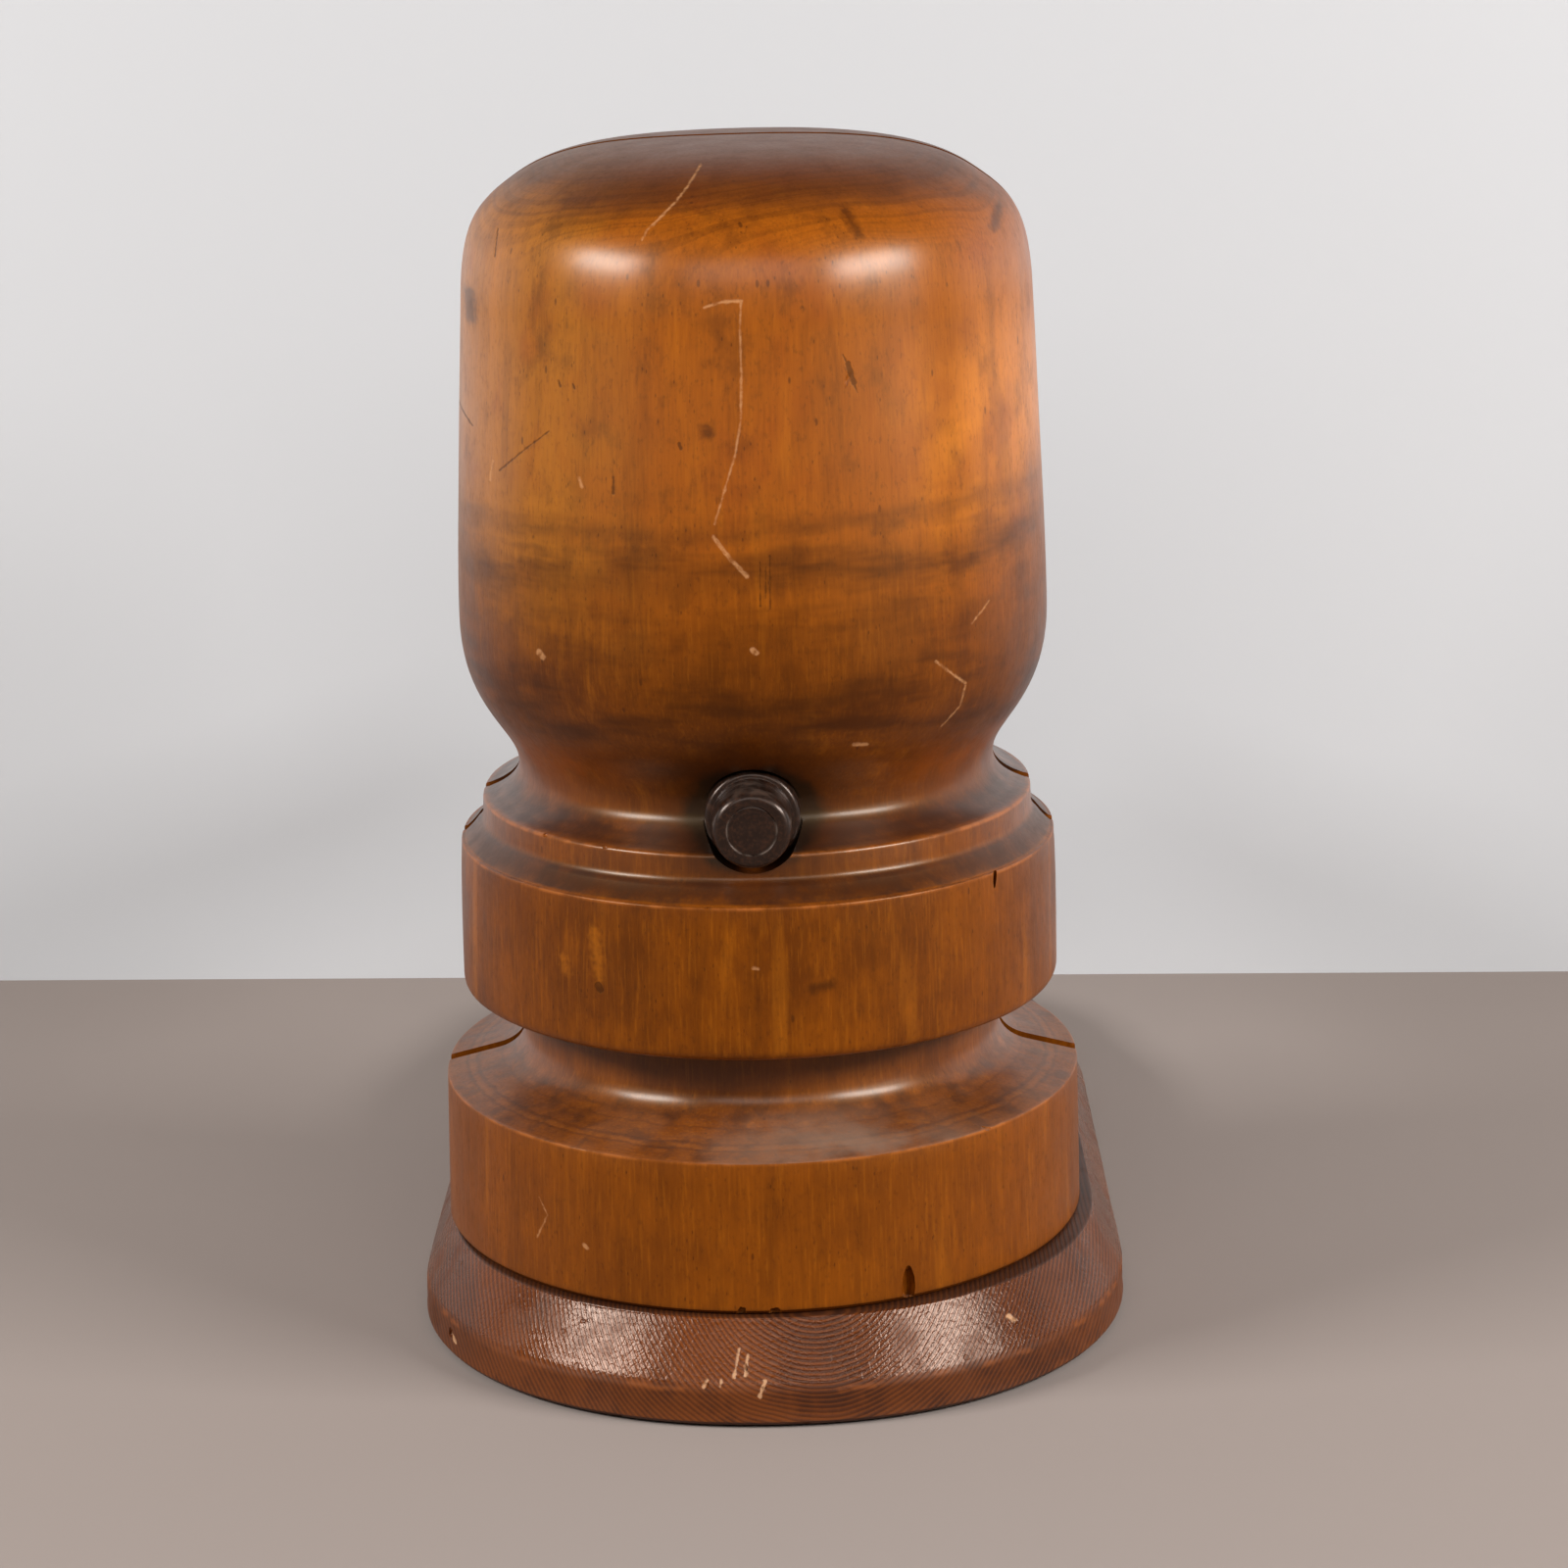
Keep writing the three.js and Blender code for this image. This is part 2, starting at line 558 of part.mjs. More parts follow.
function makeRearBlock() {
  let half = turnedHalf(1).translate([0, SAW_GAP, 0]);
  const rear = SAW_GAP + BODY_HALF_DEPTH + CUT_OVERRUN;
  const front = SAW_GAP - CUT_OVERRUN;
  const spotfaceRadius = THREAD_RADIUS + THREAD_RADIAL_GAP + SPOTFACE_MARGIN;
  const spotface = rodAlongY(spotfaceRadius, SPOTFACE_Y, rear).translate([0, 0, SCREW_Z]);
  half = half.subtract(spotface).subtract(makeTap(front, rear));
  const boreFloor = DOWEL_REACH + CLOSE_TRAVEL + DOWEL_END_ROOM;
  for (const x of dowelPlaces()) {
    const bore = rodAlongY(DOWEL_RADIUS + SLIDE_GAP, front, boreFloor, DOWEL_SEGMENTS);
    half = half.subtract(bore.translate([x, 0, DOWEL_Z]));
  }
  return half.subtract(runnerGroove(front, rear));
}

// Screw thread: a right-hand ridge wound along Y

// A threaded rod about the Y axis, its ends closed by cones that later cuts remove.
// widen grows every radius, which gives the matching tapped hole.
function threadedRod(fromY, toY, widen) {
  const outer = THREAD_RADIUS + widen;
  const inner = outer - THREAD_DEPTH;
  const flat = THREAD_PITCH / 2 - THREAD_DEPTH;
  const ridge = [
    [inner, 0],
    [inner, flat],
    [outer, flat + THREAD_DEPTH],
    [outer, 2 * flat + THREAD_DEPTH],
  ];
  const phase = THREAD_START_Y - THREAD_PITCH;
  const firstTurn = Math.floor((fromY - phase) / THREAD_PITCH) - 1;
  const turns = Math.ceil((toY - fromY) / THREAD_PITCH) + 3;
  const levels = turns * ridge.length;
  const positions = [];
  const place = (column, level) => {
    const angle = (2 * Math.PI * column) / THREAD_SEGMENTS;
    const [radius, rise] = ridge[level % ridge.length];
    const turn = firstTurn + Math.floor(level / ridge.length) + column / THREAD_SEGMENTS;
    positions.push(radius * Math.sin(angle), phase + turn * THREAD_PITCH + rise, radius * Math.cos(angle));
  };
  for (let column = 0; column < THREAD_SEGMENTS; column += 1) {
    for (let level = 0; level <= levels; level += 1) place(column, level);
  }
  for (let level = levels + 1; level <= levels + ridge.length; level += 1) place(0, level);
  const below = positions.length / 3;
  positions.push(0, phase + (firstTurn - 1) * THREAD_PITCH, 0);
  positions.push(0, phase + (firstTurn + turns + 2) * THREAD_PITCH, 0);

  // One turn on, a column meets the first one a whole ridge higher.
  const vertex = (column, level) => {
    if (column === THREAD_SEGMENTS) return vertex(0, level + ridge.length);
    if (level > levels) return THREAD_SEGMENTS * (levels + 1) + level - levels - 1;
    return column * (levels + 1) + level;
  };
  const faces = [];
  for (let column = 0; column < THREAD_SEGMENTS; column += 1) {
    for (let level = 0; level < levels; level += 1) {
      const a = vertex(column, level);
      const b = vertex(column + 1, level);
      const c = vertex(column + 1, level + 1);
      const d = vertex(column, level + 1);
      faces.push(a, b, d, c, d, b);
    }
    faces.push(vertex(column + 1, 0), vertex(column, 0), below);
    faces.push(vertex(column, levels), vertex(column + 1, levels), below + 1);
  }
  for (let step = 0; step < ridge.length; step += 1) {
    faces.push(vertex(0, step), vertex(0, step + 1), below);
    faces.push(vertex(0, levels + step + 1), vertex(0, levels + step), below + 1);
  }
  const geometry = new THREE.BufferGeometry();
  geometry.setAttribute("position", new THREE.Float32BufferAttribute(positions, 3));
  geometry.setIndex(faces);
  return solidOf(geometry);
}

// The cutting shape of the tapped hole in the rear half.
function makeTap(fromY, toY) {
  return threadedRod(fromY, toY, THREAD_RADIAL_GAP).translate([0, 0, SCREW_Z]);
}

function makeSpindle() {
  const shank = THREAD_ROOT_RADIUS - SHANK_RELIEF;
  const headFace = HEAD_Y - CONTACT_GAP;
  const noseEnd = KNOB_SEAT_Y - NOSE_TENON_LENGTH;
  const tailEnd = headFace + TAIL_TENON_LENGTH;
  const core = turned([
    point(0, noseEnd),
    point(NOSE_TENON_RADIUS, noseEnd),
    point(NOSE_TENON_RADIUS, KNOB_SEAT_Y),
    point(JOURNAL_RADIUS, KNOB_SEAT_Y),
    point(JOURNAL_RADIUS, COLLAR_FRONT_Y),
    point(COLLAR_RADIUS - COLLAR_CHAMFER, COLLAR_FRONT_Y),
    point(COLLAR_RADIUS, COLLAR_FRONT_Y + COLLAR_CHAMFER),
    point(COLLAR_RADIUS, COLLAR_REAR_Y - COLLAR_CHAMFER),
    point(COLLAR_RADIUS - COLLAR_CHAMFER, COLLAR_REAR_Y),
    point(shank, COLLAR_REAR_Y),
    point(shank, headFace),
    point(TAIL_TENON_RADIUS, headFace),
    point(TAIL_TENON_RADIUS, tailEnd),
    point(0, tailEnd),
  ]);
  const threadLimits = turned([
    point(0, THREAD_START_Y),
    point(THREAD_ROOT_RADIUS, THREAD_START_Y),
    point(THREAD_RADIUS, THREAD_START_Y + THREAD_CHAMFER),
    point(THREAD_RADIUS, THREAD_END_Y - THREAD_CHAMFER),
    point(THREAD_ROOT_RADIUS, THREAD_END_Y),
    point(0, THREAD_END_Y),
  ]);
  const thread = threadedRod(THREAD_START_Y, THREAD_END_Y, 0).intersect(threadLimits);
  return core.add(thread).translate([0, 0, SCREW_Z]).subtract(headPinHole());
}

// Front knob, on the nose of the spindle

function makeFrontKnob() {
  const rear = KNOB_SEAT_Y - CONTACT_GAP;
  const face = rear - KNOB_LENGTH;
  const flangeFront = rear - KNOB_FLANGE_LENGTH;
  const socket = NOSE_TENON_RADIUS + CONTACT_GAP;
  const socketEnd = rear - NOSE_TENON_LENGTH;
  const flangeEdge = point(KNOB_FLANGE_RADIUS - KNOB_FLANGE_ROUND, flangeFront);
  const knob = turned(
    profileOf(
      point(0, face + KNOB_DISH),
      point(KNOB_SCRIBE_RADIUS - KNOB_DISH, face + KNOB_DISH),
      point(KNOB_SCRIBE_RADIUS, face),
      bend(
        point(KNOB_NOSE_RADIUS - KNOB_NOSE_ROUND, face),
        point(KNOB_NOSE_RADIUS, face),
        point(KNOB_NOSE_RADIUS, face + KNOB_NOSE_ROUND),
        3,
      ),
      bend(
        point(KNOB_NOSE_RADIUS, flangeFront - KNOB_COVE),
        point(KNOB_NOSE_RADIUS, flangeFront),
        flangeEdge,
        2,
      ),
      bend(
        flangeEdge,
        point(KNOB_FLANGE_RADIUS, flangeFront),
        point(KNOB_FLANGE_RADIUS, flangeFront + KNOB_FLANGE_ROUND),
        2,
      ),
      point(KNOB_FLANGE_RADIUS, rear),
      point(socket, rear),
      point(socket, socketEnd),
      point(0, socketEnd),
    ),
  );
  return knob.translate([0, 0, SCREW_Z]);
}

// Handle: turned head, loose bar and its end knobs

function headPinHole() {
  const radius = HEAD_PIN_RADIUS + CONTACT_GAP;
  const drill = new THREE.CylinderGeometry(radius, radius, 2 * (HEAD_RADIUS + CUT_OVERRUN), SCREW_SEGMENTS);
  return solidOf(drill.rotateX(Math.PI / 2).translate(0, HEAD_PIN_Y, SCREW_Z));
}

function barAlongX(radius, halfLength, segments) {
  const rod = new THREE.CylinderGeometry(radius, radius, 2 * halfLength, segments);
  return solidOf(rod.rotateZ(Math.PI / 2).translate(0, BAR_Y, SCREW_Z));
}

function makeScrewHead() {
  const socket = TAIL_TENON_RADIUS + CONTACT_GAP;
  const floor = HEAD_Y + TAIL_TENON_LENGTH;
  const end = HEAD_Y + HEAD_LENGTH;
  const capStart = end - HEAD_CAP_LENGTH;
  const ringEnd = HEAD_Y + HEAD_RING_LENGTH;
  const quirkEnd = ringEnd + 2 * HEAD_QUIRK;
  const capRadius = HEAD_RADIUS - HEAD_SCRIBE;
  const head = turned(
    profileOf(
      point(0, floor),
      point(socket, floor),
      point(socket, HEAD_Y),
      point(HEAD_NECK_RADIUS - HEAD_CHAMFER, HEAD_Y),
      point(HEAD_NECK_RADIUS, HEAD_Y + HEAD_CHAMFER),
      point(HEAD_NECK_RADIUS, ringEnd),
      point(HEAD_NECK_RADIUS - HEAD_QUIRK, ringEnd + HEAD_QUIRK),
      bend(
        point(HEAD_NECK_RADIUS, quirkEnd),
        point(HEAD_RADIUS, quirkEnd + HEAD_SWELL_LENGTH / 4),
        point(HEAD_RADIUS, quirkEnd + HEAD_SWELL_LENGTH),
        4,
      ),
      point(HEAD_RADIUS, capStart - HEAD_SCRIBE),
      point(capRadius, capStart),
      bend(
        point(capRadius, capStart + HEAD_SCRIBE),
        point(capRadius, end - HEAD_SCRIBE),
        point(HEAD_RADIUS - HEAD_CAP_LENGTH, end - HEAD_SCRIBE / 2),
        4,
      ),
      point(0, end),
    ),
  ).translate([0, 0, SCREW_Z]);
  const barHole = barAlongX(BAR_RADIUS + SLIDE_GAP, HEAD_RADIUS + CUT_OVERRUN, SHAFT_SEGMENTS);
  return head.subtract(barHole).subtract(headPinHole());
}

function makeHeadPin() {
  const length = 2 * (HEAD_NECK_RADIUS - HEAD_PIN_SINK);
  const pin = new THREE.CylinderGeometry(HEAD_PIN_RADIUS, HEAD_PIN_RADIUS, length, SCREW_SEGMENTS);
  return solidOf(pin.rotateX(Math.PI / 2).translate(0, HEAD_PIN_Y, SCREW_Z));
}

function makeBar() {
  const tenons = barAlongX(BAR_TENON_RADIUS, BAR_HALF_LENGTH + BAR_TENON_LENGTH, SCREW_SEGMENTS);
  return barAlongX(BAR_RADIUS, BAR_HALF_LENGTH, SHAFT_SEGMENTS).add(tenons);
}

// side is -1 for the left end of the bar and 1 for the right end.
function makeBarKnob(side) {
  const inner = BAR_HALF_LENGTH + CONTACT_GAP;
  const outer = inner + BAR_KNOB_LENGTH;
  const foot = BAR_RADIUS + BAR_KNOB_LIP;
  const socket = BAR_TENON_RADIUS + CONTACT_GAP;
  const socketEnd = inner + BAR_TENON_LENGTH;
  const fullest = point(BAR_KNOB_RADIUS, inner + BAR_KNOB_NECK);
  const knob = turned(
    profileOf(
      point(0, socketEnd),
      point(socket, socketEnd),
      point(socket, inner),
      point(foot, inner),
      bend(point(foot, inner + BAR_KNOB_LIP), point(BAR_KNOB_RADIUS, inner + BAR_KNOB_LIP), fullest, 3),
      bend(fullest, point(BAR_KNOB_RADIUS, outer), point(0, outer), 5),
    ),
    DOWEL_SEGMENTS,
  );
  return knob.rotate([0, 0, -90 * side]).translate([0, BAR_Y, SCREW_Z]);
}

// A guide dowel, glued in the front half and sliding in the rear half.
function makeDowel(x) {
  const dowel = turned(
    [
      point(0, -DOWEL_SOCKET_DEPTH),
      point(DOWEL_RADIUS - DOWEL_END_EASE, -DOWEL_SOCKET_DEPTH),
      point(DOWEL_RADIUS, -DOWEL_SOCKET_DEPTH + DOWEL_END_EASE),
      point(DOWEL_RADIUS, DOWEL_REACH - 2 * DOWEL_END_EASE),
      point(DOWEL_RADIUS - DOWEL_END_EASE, DOWEL_REACH),
      point(0, DOWEL_REACH),
    ],
    DOWEL_SEGMENTS,
  );
  return dowel.translate([x, 0, DOWEL_Z]);
}

// Assembly

const stand = new THREE.Group();
stand.add(meshOf("base_board", makeBoard(), pine));
stand.add(meshOf("front_block", makeFrontBlock(), maple));
stand.add(meshOf("slide_runner", makeRunner(), paleHardwood));
BLOCK_SCREW_PLACES.forEach(([x, y], i) => {
  stand.add(meshOf(`block_screw_${i + 1}`, makeWoodScrew(BLOCK_SCREW).translate([x, y, 0]), steel));
});
runnerScrewPlaces().forEach((y, i) => {
  const screw = makeWoodScrew(RUNNER_SCREW).rotate([180, 0, 0]).translate([0, y, RUNNER_TOP_Z]);
  stand.add(meshOf(`runner_screw_${i + 1}`, screw, steel));
});
dowelPlaces().forEach((x, i) => {
  stand.add(meshOf(["guide_dowel_left", "guide_dowel_right"][i], makeDowel(x), paleHardwood));
});

const slidingHalf = new THREE.Group();
slidingHalf.add(meshOf("rear_block", makeRearBlock(), maple));

const screw = new THREE.Group();
screw.add(meshOf("screw_spindle", makeSpindle(), darkWood));
screw.add(meshOf("front_knob", makeFrontKnob(), darkWood));
screw.add(meshOf("screw_head", makeScrewHead(), darkWood));
screw.add(meshOf("head_pin", makeHeadPin(), steel));

const handleBar = new THREE.Group();
handleBar.add(meshOf("tommy_bar", makeBar(), darkWood));
handleBar.add(meshOf("bar_knob_left", makeBarKnob(-1), darkWood));
handleBar.add(meshOf("bar_knob_right", makeBarKnob(1), darkWood));

const hatBlock = new THREE.Group();
hatBlock.add(stand, slidingHalf, screw, handleBar);

export default hatBlock;
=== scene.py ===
"""Looks of a hat block: two turned halves on a bench board, a wooden screw and its handle.

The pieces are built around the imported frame, in its place and in its sizes.
Lengths are millimetres until a finished mesh is scaled to metres.
X points right, Y points back from the saw cut, Z points up, and the board stands on Z 0.
"""

import logging
import math
from dataclasses import dataclass, field
from enum import Enum
from typing import Any, Callable, Iterable, Mapping, Sequence, Union

import bmesh
import bpy
from mathutils import Matrix, Vector, noise


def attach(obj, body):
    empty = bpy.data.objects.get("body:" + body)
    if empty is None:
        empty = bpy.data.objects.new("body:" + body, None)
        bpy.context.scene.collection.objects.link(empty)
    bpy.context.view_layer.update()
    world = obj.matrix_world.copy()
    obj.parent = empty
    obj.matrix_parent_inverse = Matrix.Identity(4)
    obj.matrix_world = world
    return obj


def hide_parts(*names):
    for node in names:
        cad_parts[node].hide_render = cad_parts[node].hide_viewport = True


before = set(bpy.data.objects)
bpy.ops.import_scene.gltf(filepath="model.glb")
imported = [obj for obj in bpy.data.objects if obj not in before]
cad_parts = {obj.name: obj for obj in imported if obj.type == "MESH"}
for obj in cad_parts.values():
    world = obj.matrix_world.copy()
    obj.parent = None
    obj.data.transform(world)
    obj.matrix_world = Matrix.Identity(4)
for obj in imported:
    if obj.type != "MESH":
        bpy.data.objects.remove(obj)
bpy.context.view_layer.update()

LOG = logging.getLogger("hat_block")

Point = tuple[float, float]
Triple = tuple[float, float, float]
Colour = tuple[float, float, float, float]
Keep = Callable[[bmesh.types.BMVert], bool]

MM = 0.001  # one millimetre in metres
SCREW_Z = 159.7  # height of the wooden screw's axis
KNOB_SEAT = -80.4  # Y of the floor of the knob's recess
SAW_GAP = 6.0  # between the halves at rest
DEPTH_RATIO = 1.2  # the oval is this much deeper than wide
HEART: Point = (-9.0, -14.0)  # where the body's growth rings centre, in X and Y
DOWELS: dict[str, Point] = {"left": (-45.0, 264.0), "right": (45.0, 264.0)}  # their X and Z
RUNNER_FOOT, RUNNER_TOP = 28.3, 40.3  # heights of the dovetailed runner
MERGE_DISTANCE, SLIVER = 1e-3, 1e-4  # points and edges closer than this are one


# Colours and small shared functions


def srgb(red: float, green: float, blue: float) -> Colour:
    """Turns a colour as it looks on a screen into a linear one.

    Args:
        red: Red from 0 to 255.
        green: Green from 0 to 255.
        blue: Blue from 0 to 255.

    Returns:
        Linear red, green, blue and an alpha of 1.
    """
    def linear(level: float) -> float:
        """One channel, linear."""
        share = level / 255
        return share / 12.92 if share <= 0.04045 else ((share + 0.055) / 1.055) ** 2.4

    return (linear(red), linear(green), linear(blue), 1.0)


def bezier(*handles: Point, steps: int = 12) -> list[Point]:
    """Points on a curve with any number of handles.

    Args:
        handles: The start, the pulling points and the end.
        steps: Number of stretches along the curve.

    Returns:
        The points, both ends among them.
    """
    points = []
    for i in range(steps + 1):
        share = i / steps
        level = [Vector(handle) for handle in handles]
        while len(level) > 1:
            level = [a.lerp(b, share) for a, b in zip(level, level[1:])]
        points.append((level[0].x, level[0].y))
    return points


def profile(*runs: Union[Point, list[Point]]) -> list[Point]:
    """Joins points and runs of points into one profile without doubled neighbours.

    Args:
        runs: Single points and lists of points, in order.

    Returns:
        The profile's points.
    """
    points: list[Point] = []
    for run in runs:
        for point in run if isinstance(run, list) else [run]:
            if not points or math.dist(points[-1], point) > 0.01:
                points.append(point)
    return points


def eased(points: Sequence[Point], radius: float, steps: int = 3) -> list[Point]:
    """Rounds a profile's inner corners.

    Args:
        points: The profile, ends kept as they are.
        radius: How far from each corner the round starts, less beside short stretches.
        steps: Stretches in each round.

    Returns:
        The profile with rounded corners.
    """
    soft = [points[0]]
    for before, corner, after in zip(points, points[1:], points[2:]):
        back, on = Vector(before) - Vector(corner), Vector(after) - Vector(corner)
        reach = min(radius, back.length * 0.4, on.length * 0.4)
        start = Vector(corner) + back.normalized() * reach
        end = Vector(corner) + on.normalized() * reach
        soft += bezier(tuple(start), corner, tuple(end), steps=steps)
    return profile(soft, points[-1])


# Meshes


class Axis(Enum):
    """The axis that a piece is turned about."""

    X = (1, 0, 0)
    Y = (0, 1, 0)
    Z = (0, 0, 1)

    def place(self, radius: float, along: float) -> Vector:
        """The place of a profile point."""
        if self is Axis.X:
            return Vector((along, 0, radius))
        if self is Axis.Y:
            return Vector((0, along, radius))
        return Vector((radius, 0, along))


class Join(Enum):
    """How two solids are put together."""

    CUT = "DIFFERENCE"
    ADD = "UNION"
    KEEP = "INTERSECT"


class Part(Enum):
    """Material places of a mesh."""

    FINISHED = 0
    RAW = 1


def chain(mesh: bmesh.types.BMesh, places: Iterable[Vector], closed: bool = False) -> list[Any]:
    """Adds a line of vertices.

    Args:
        mesh: The mesh that gets the line.
        places: Where its vertices are.
        closed: Whether the last vertex joins the first.

    Returns:
        The new vertices and edges.
    """
    verts = [mesh.verts.new(place) for place in places]
    pairs = list(zip(verts, verts[1:])) + ([(verts[-1], verts[0])] if closed else [])
    return verts + [mesh.edges.new(pair) for pair in pairs]


def merge(mesh: bmesh.types.BMesh) -> None:
    """Merges doubled points and takes out slivers."""
    bmesh.ops.remove_doubles(mesh, verts=mesh.verts, dist=MERGE_DISTANCE)
    bmesh.ops.dissolve_degenerate(mesh, edges=mesh.edges, dist=SLIVER)


def tidy(mesh: bmesh.types.BMesh, part: Part = Part.FINISHED) -> bmesh.types.BMesh:
    """Merges doubles, turns all faces outwards and gives them their material place.

    Args:
        mesh: The mesh.
        part: Material place of its faces.

    Returns:
        The same mesh.
    """
    merge(mesh)
    bmesh.ops.recalc_face_normals(mesh, faces=mesh.faces)
    for face in mesh.faces:
        face.material_index = part.value
    return mesh


def turned(
    points: Sequence[Point],
    axis: Axis = Axis.Y,
    centre: Vector = Vector((0, 0, 0)),
    steps: int = 72,
    part: Part = Part.FINISHED,
) -> bmesh.types.BMesh:
    """A solid turned on a lathe.

    Args:
        points: Radius and place along the axis, from a point on the axis to another.
        axis: The axis of the lathe.
        centre: A point that the axis goes through.
        steps: Facets all round.
        part: Material place of the faces.

    Returns:
        The closed mesh.
    """
    mesh = bmesh.new()
    geometry = chain(mesh, [axis.place(*point) for point in points])
    bmesh.ops.spin(
        mesh, geom=geometry, cent=(0, 0, 0), axis=axis.value, dvec=(0, 0, 0),
        angle=2 * math.pi, steps=steps, use_merge=True, use_duplicate=False,
    )
    bmesh.ops.translate(mesh, verts=mesh.verts, vec=centre)
    return tidy(mesh, part)


def rod(
    radius: float, start: float, end: float, centre: Vector, axis: Axis = Axis.Y, steps: int = 64,
) -> bmesh.types.BMesh:
    """A plain cylinder that drills a hole.

    Args:
        radius: Its radius.
        start: Where it starts along the axis.
        end: Where it ends along the axis.
        centre: A point that the axis goes through.
        axis: The axis.
        steps: Facets all round.

    Returns:
        The closed mesh, its faces raw.
    """
    outline = [(0, start), (radius, start), (radius, end), (0, end)]
    return turned(outline, axis, centre, steps, Part.RAW)


def box(low: Vector, high: Vector) -> bmesh.types.BMesh:
    """A block that cuts a slot.

    Args:
        low: Its lowest corner.
        high: Its highest corner.

    Returns:
        The closed mesh, its faces raw.
    """
    mesh = bmesh.new()
    bmesh.ops.create_cube(mesh, size=1)
    bmesh.ops.scale(mesh, vec=high - low, verts=mesh.verts)
    bmesh.ops.translate(mesh, vec=(high + low) / 2, verts=mesh.verts)
    return tidy(mesh, Part.RAW)


def coil(
    outline: Sequence[Point], pitch: float, start: float, turns: float, axis: Axis,
    centre: Vector, steps: int = 48, part: Part = Part.FINISHED,
) -> bmesh.types.BMesh:
    """A ridge wound round an axis as a right-hand helix.

    Args:
        outline: The ridge's closed cross-section as radius and place along the axis.
        pitch: Advance in one turn.
        start: Place along the axis of the cross-section's origin at the first turn.
        turns: Number of turns.
        axis: The axis.
        centre: A point that the axis goes through.
        steps: Facets in one turn.
        part: Material place of the faces.

    Returns:
        The closed mesh.
    """
    mesh = bmesh.new()
    ring = chain(mesh, [axis.place(radius, start + along) for radius, along in outline], closed=True)
    bmesh.ops.contextual_create(mesh, geom=ring)
    count = round(steps * turns)
    end = bmesh.ops.spin(
        mesh, geom=ring, cent=(0, 0, 0), axis=axis.value, dvec=Vector(axis.value) * pitch / steps,
        angle=2 * math.pi * count / steps, steps=count, use_merge=False, use_duplicate=False,
    )["geom_last"]
    bmesh.ops.contextual_create(mesh, geom=[e for e in end if not isinstance(e, bmesh.types.BMFace)])
    bmesh.ops.translate(mesh, verts=mesh.verts, vec=centre)
    return tidy(mesh, part)


def mesh_object(mesh: bmesh.types.BMesh, name: str, *materials: Any) -> bpy.types.Object:
    """Puts a mesh in the scene.

    Args:
        mesh: The mesh, which is freed.
        name: The object's name.
        materials: Its materials, or none for an empty place for each part.

    Returns:
        The new object.
    """
    data = bpy.data.meshes.new(name)
    mesh.to_mesh(data)
    mesh.free()
    for material in materials or [None for _ in Part]:
        data.materials.append(material)
    item = bpy.data.objects.new(name, data)
    bpy.context.scene.collection.objects.link(item)
    return item


def carve(solid: bmesh.types.BMesh, *tools: tuple[Join, bmesh.types.BMesh]) -> bmesh.types.BMesh:
    """Cuts, joins or trims a solid with others, one after the other.

    Args:
        solid: The solid to work on, which is freed.
        tools: How each tool is used and the tool, which is freed.

    Returns:
        The finished solid.
    """
    work = mesh_object(solid, "work")
    helpers = []
    for join, tool in tools:
        helper = mesh_object(tool, "tool")
        modifier = work.modifiers.new("carve", "BOOLEAN")
        modifier.operation = join.value
        modifier.solver = "EXACT"
        modifier.material_mode = "INDEX"
        modifier.object = helper
        helpers.append(helper)
    graph = bpy.context.evaluated_depsgraph_get()
    result = bmesh.new()
    result.from_object(work, graph)
    for item in [work, *helpers]:
        data = item.data
        bpy.data.objects.remove(item)
        bpy.data.meshes.remove(data)
    merge(result)
    return result


def wear(
    mesh: bmesh.types.BMesh, depth: float, size: float, keep: Union[Keep, None] = None,
) -> None:
    """Makes a surface slightly uneven, always inwards.

    Args:
        mesh: The mesh.
        depth: The most that a point sinks.
        size: Width of the unevenness.
        keep: Says of a vertex whether it stays where it is.
    """
    mesh.normal_update()
    moves = {}
    for vert in mesh.verts:
        if keep is None or not keep(vert):
            level = 0.5 + 0.5 * noise.noise(vert.co / size)
            moves[vert] = vert.co - vert.normal * depth * level
    for vert, place in moves.items():
        vert.co = place


def dent(place: Vector, radii: Vector, lean: float = 0.0, seed: float = 0.0) -> bmesh.types.BMesh:
    """An uneven pebble that cuts a chip or a nick.

    Args:
        place: Its centre.
        radii: Half its sizes along X, Y and Z.
        lean: Turn about the Y axis in degrees, towards +X at the top.
        seed: Moves the unevenness.

    Returns:
        The closed mesh, its faces raw.
    """
    mesh = bmesh.new()
    bmesh.ops.create_icosphere(mesh, subdivisions=3, radius=1)
    for vert in mesh.verts:
        shift = noise.noise(vert.co * 1.7 + Vector((seed, 0, 3.1)))
        vert.co = vert.co * (1 + 0.3 * shift)
    bmesh.ops.scale(mesh, vec=radii, verts=mesh.verts)
    turn = Matrix.Rotation(math.radians(lean), 3, "Y")
    bmesh.ops.rotate(mesh, cent=(0, 0, 0), matrix=turn, verts=mesh.verts)
    bmesh.ops.translate(mesh, vec=place, verts=mesh.verts)
    return tidy(mesh, Part.RAW)


def dents(wounds: Iterable[tuple[float, ...]], seed: float, stride: float) -> list[bmesh.types.BMesh]:
    """Several pebbles that cut chips and nicks.

    Args:
        wounds: X, Y and Z of each, half its sizes along them, and its lean in degrees.
        seed: Seed of the first.
        stride: From one seed to the next.

    Returns:
        The pebbles.
    """
    return [
        dent(Vector(wound[:3]), Vector(wound[3:6]), wound[6], seed + i * stride)
        for i, wound in enumerate(wounds)
    ]


# Shader maths


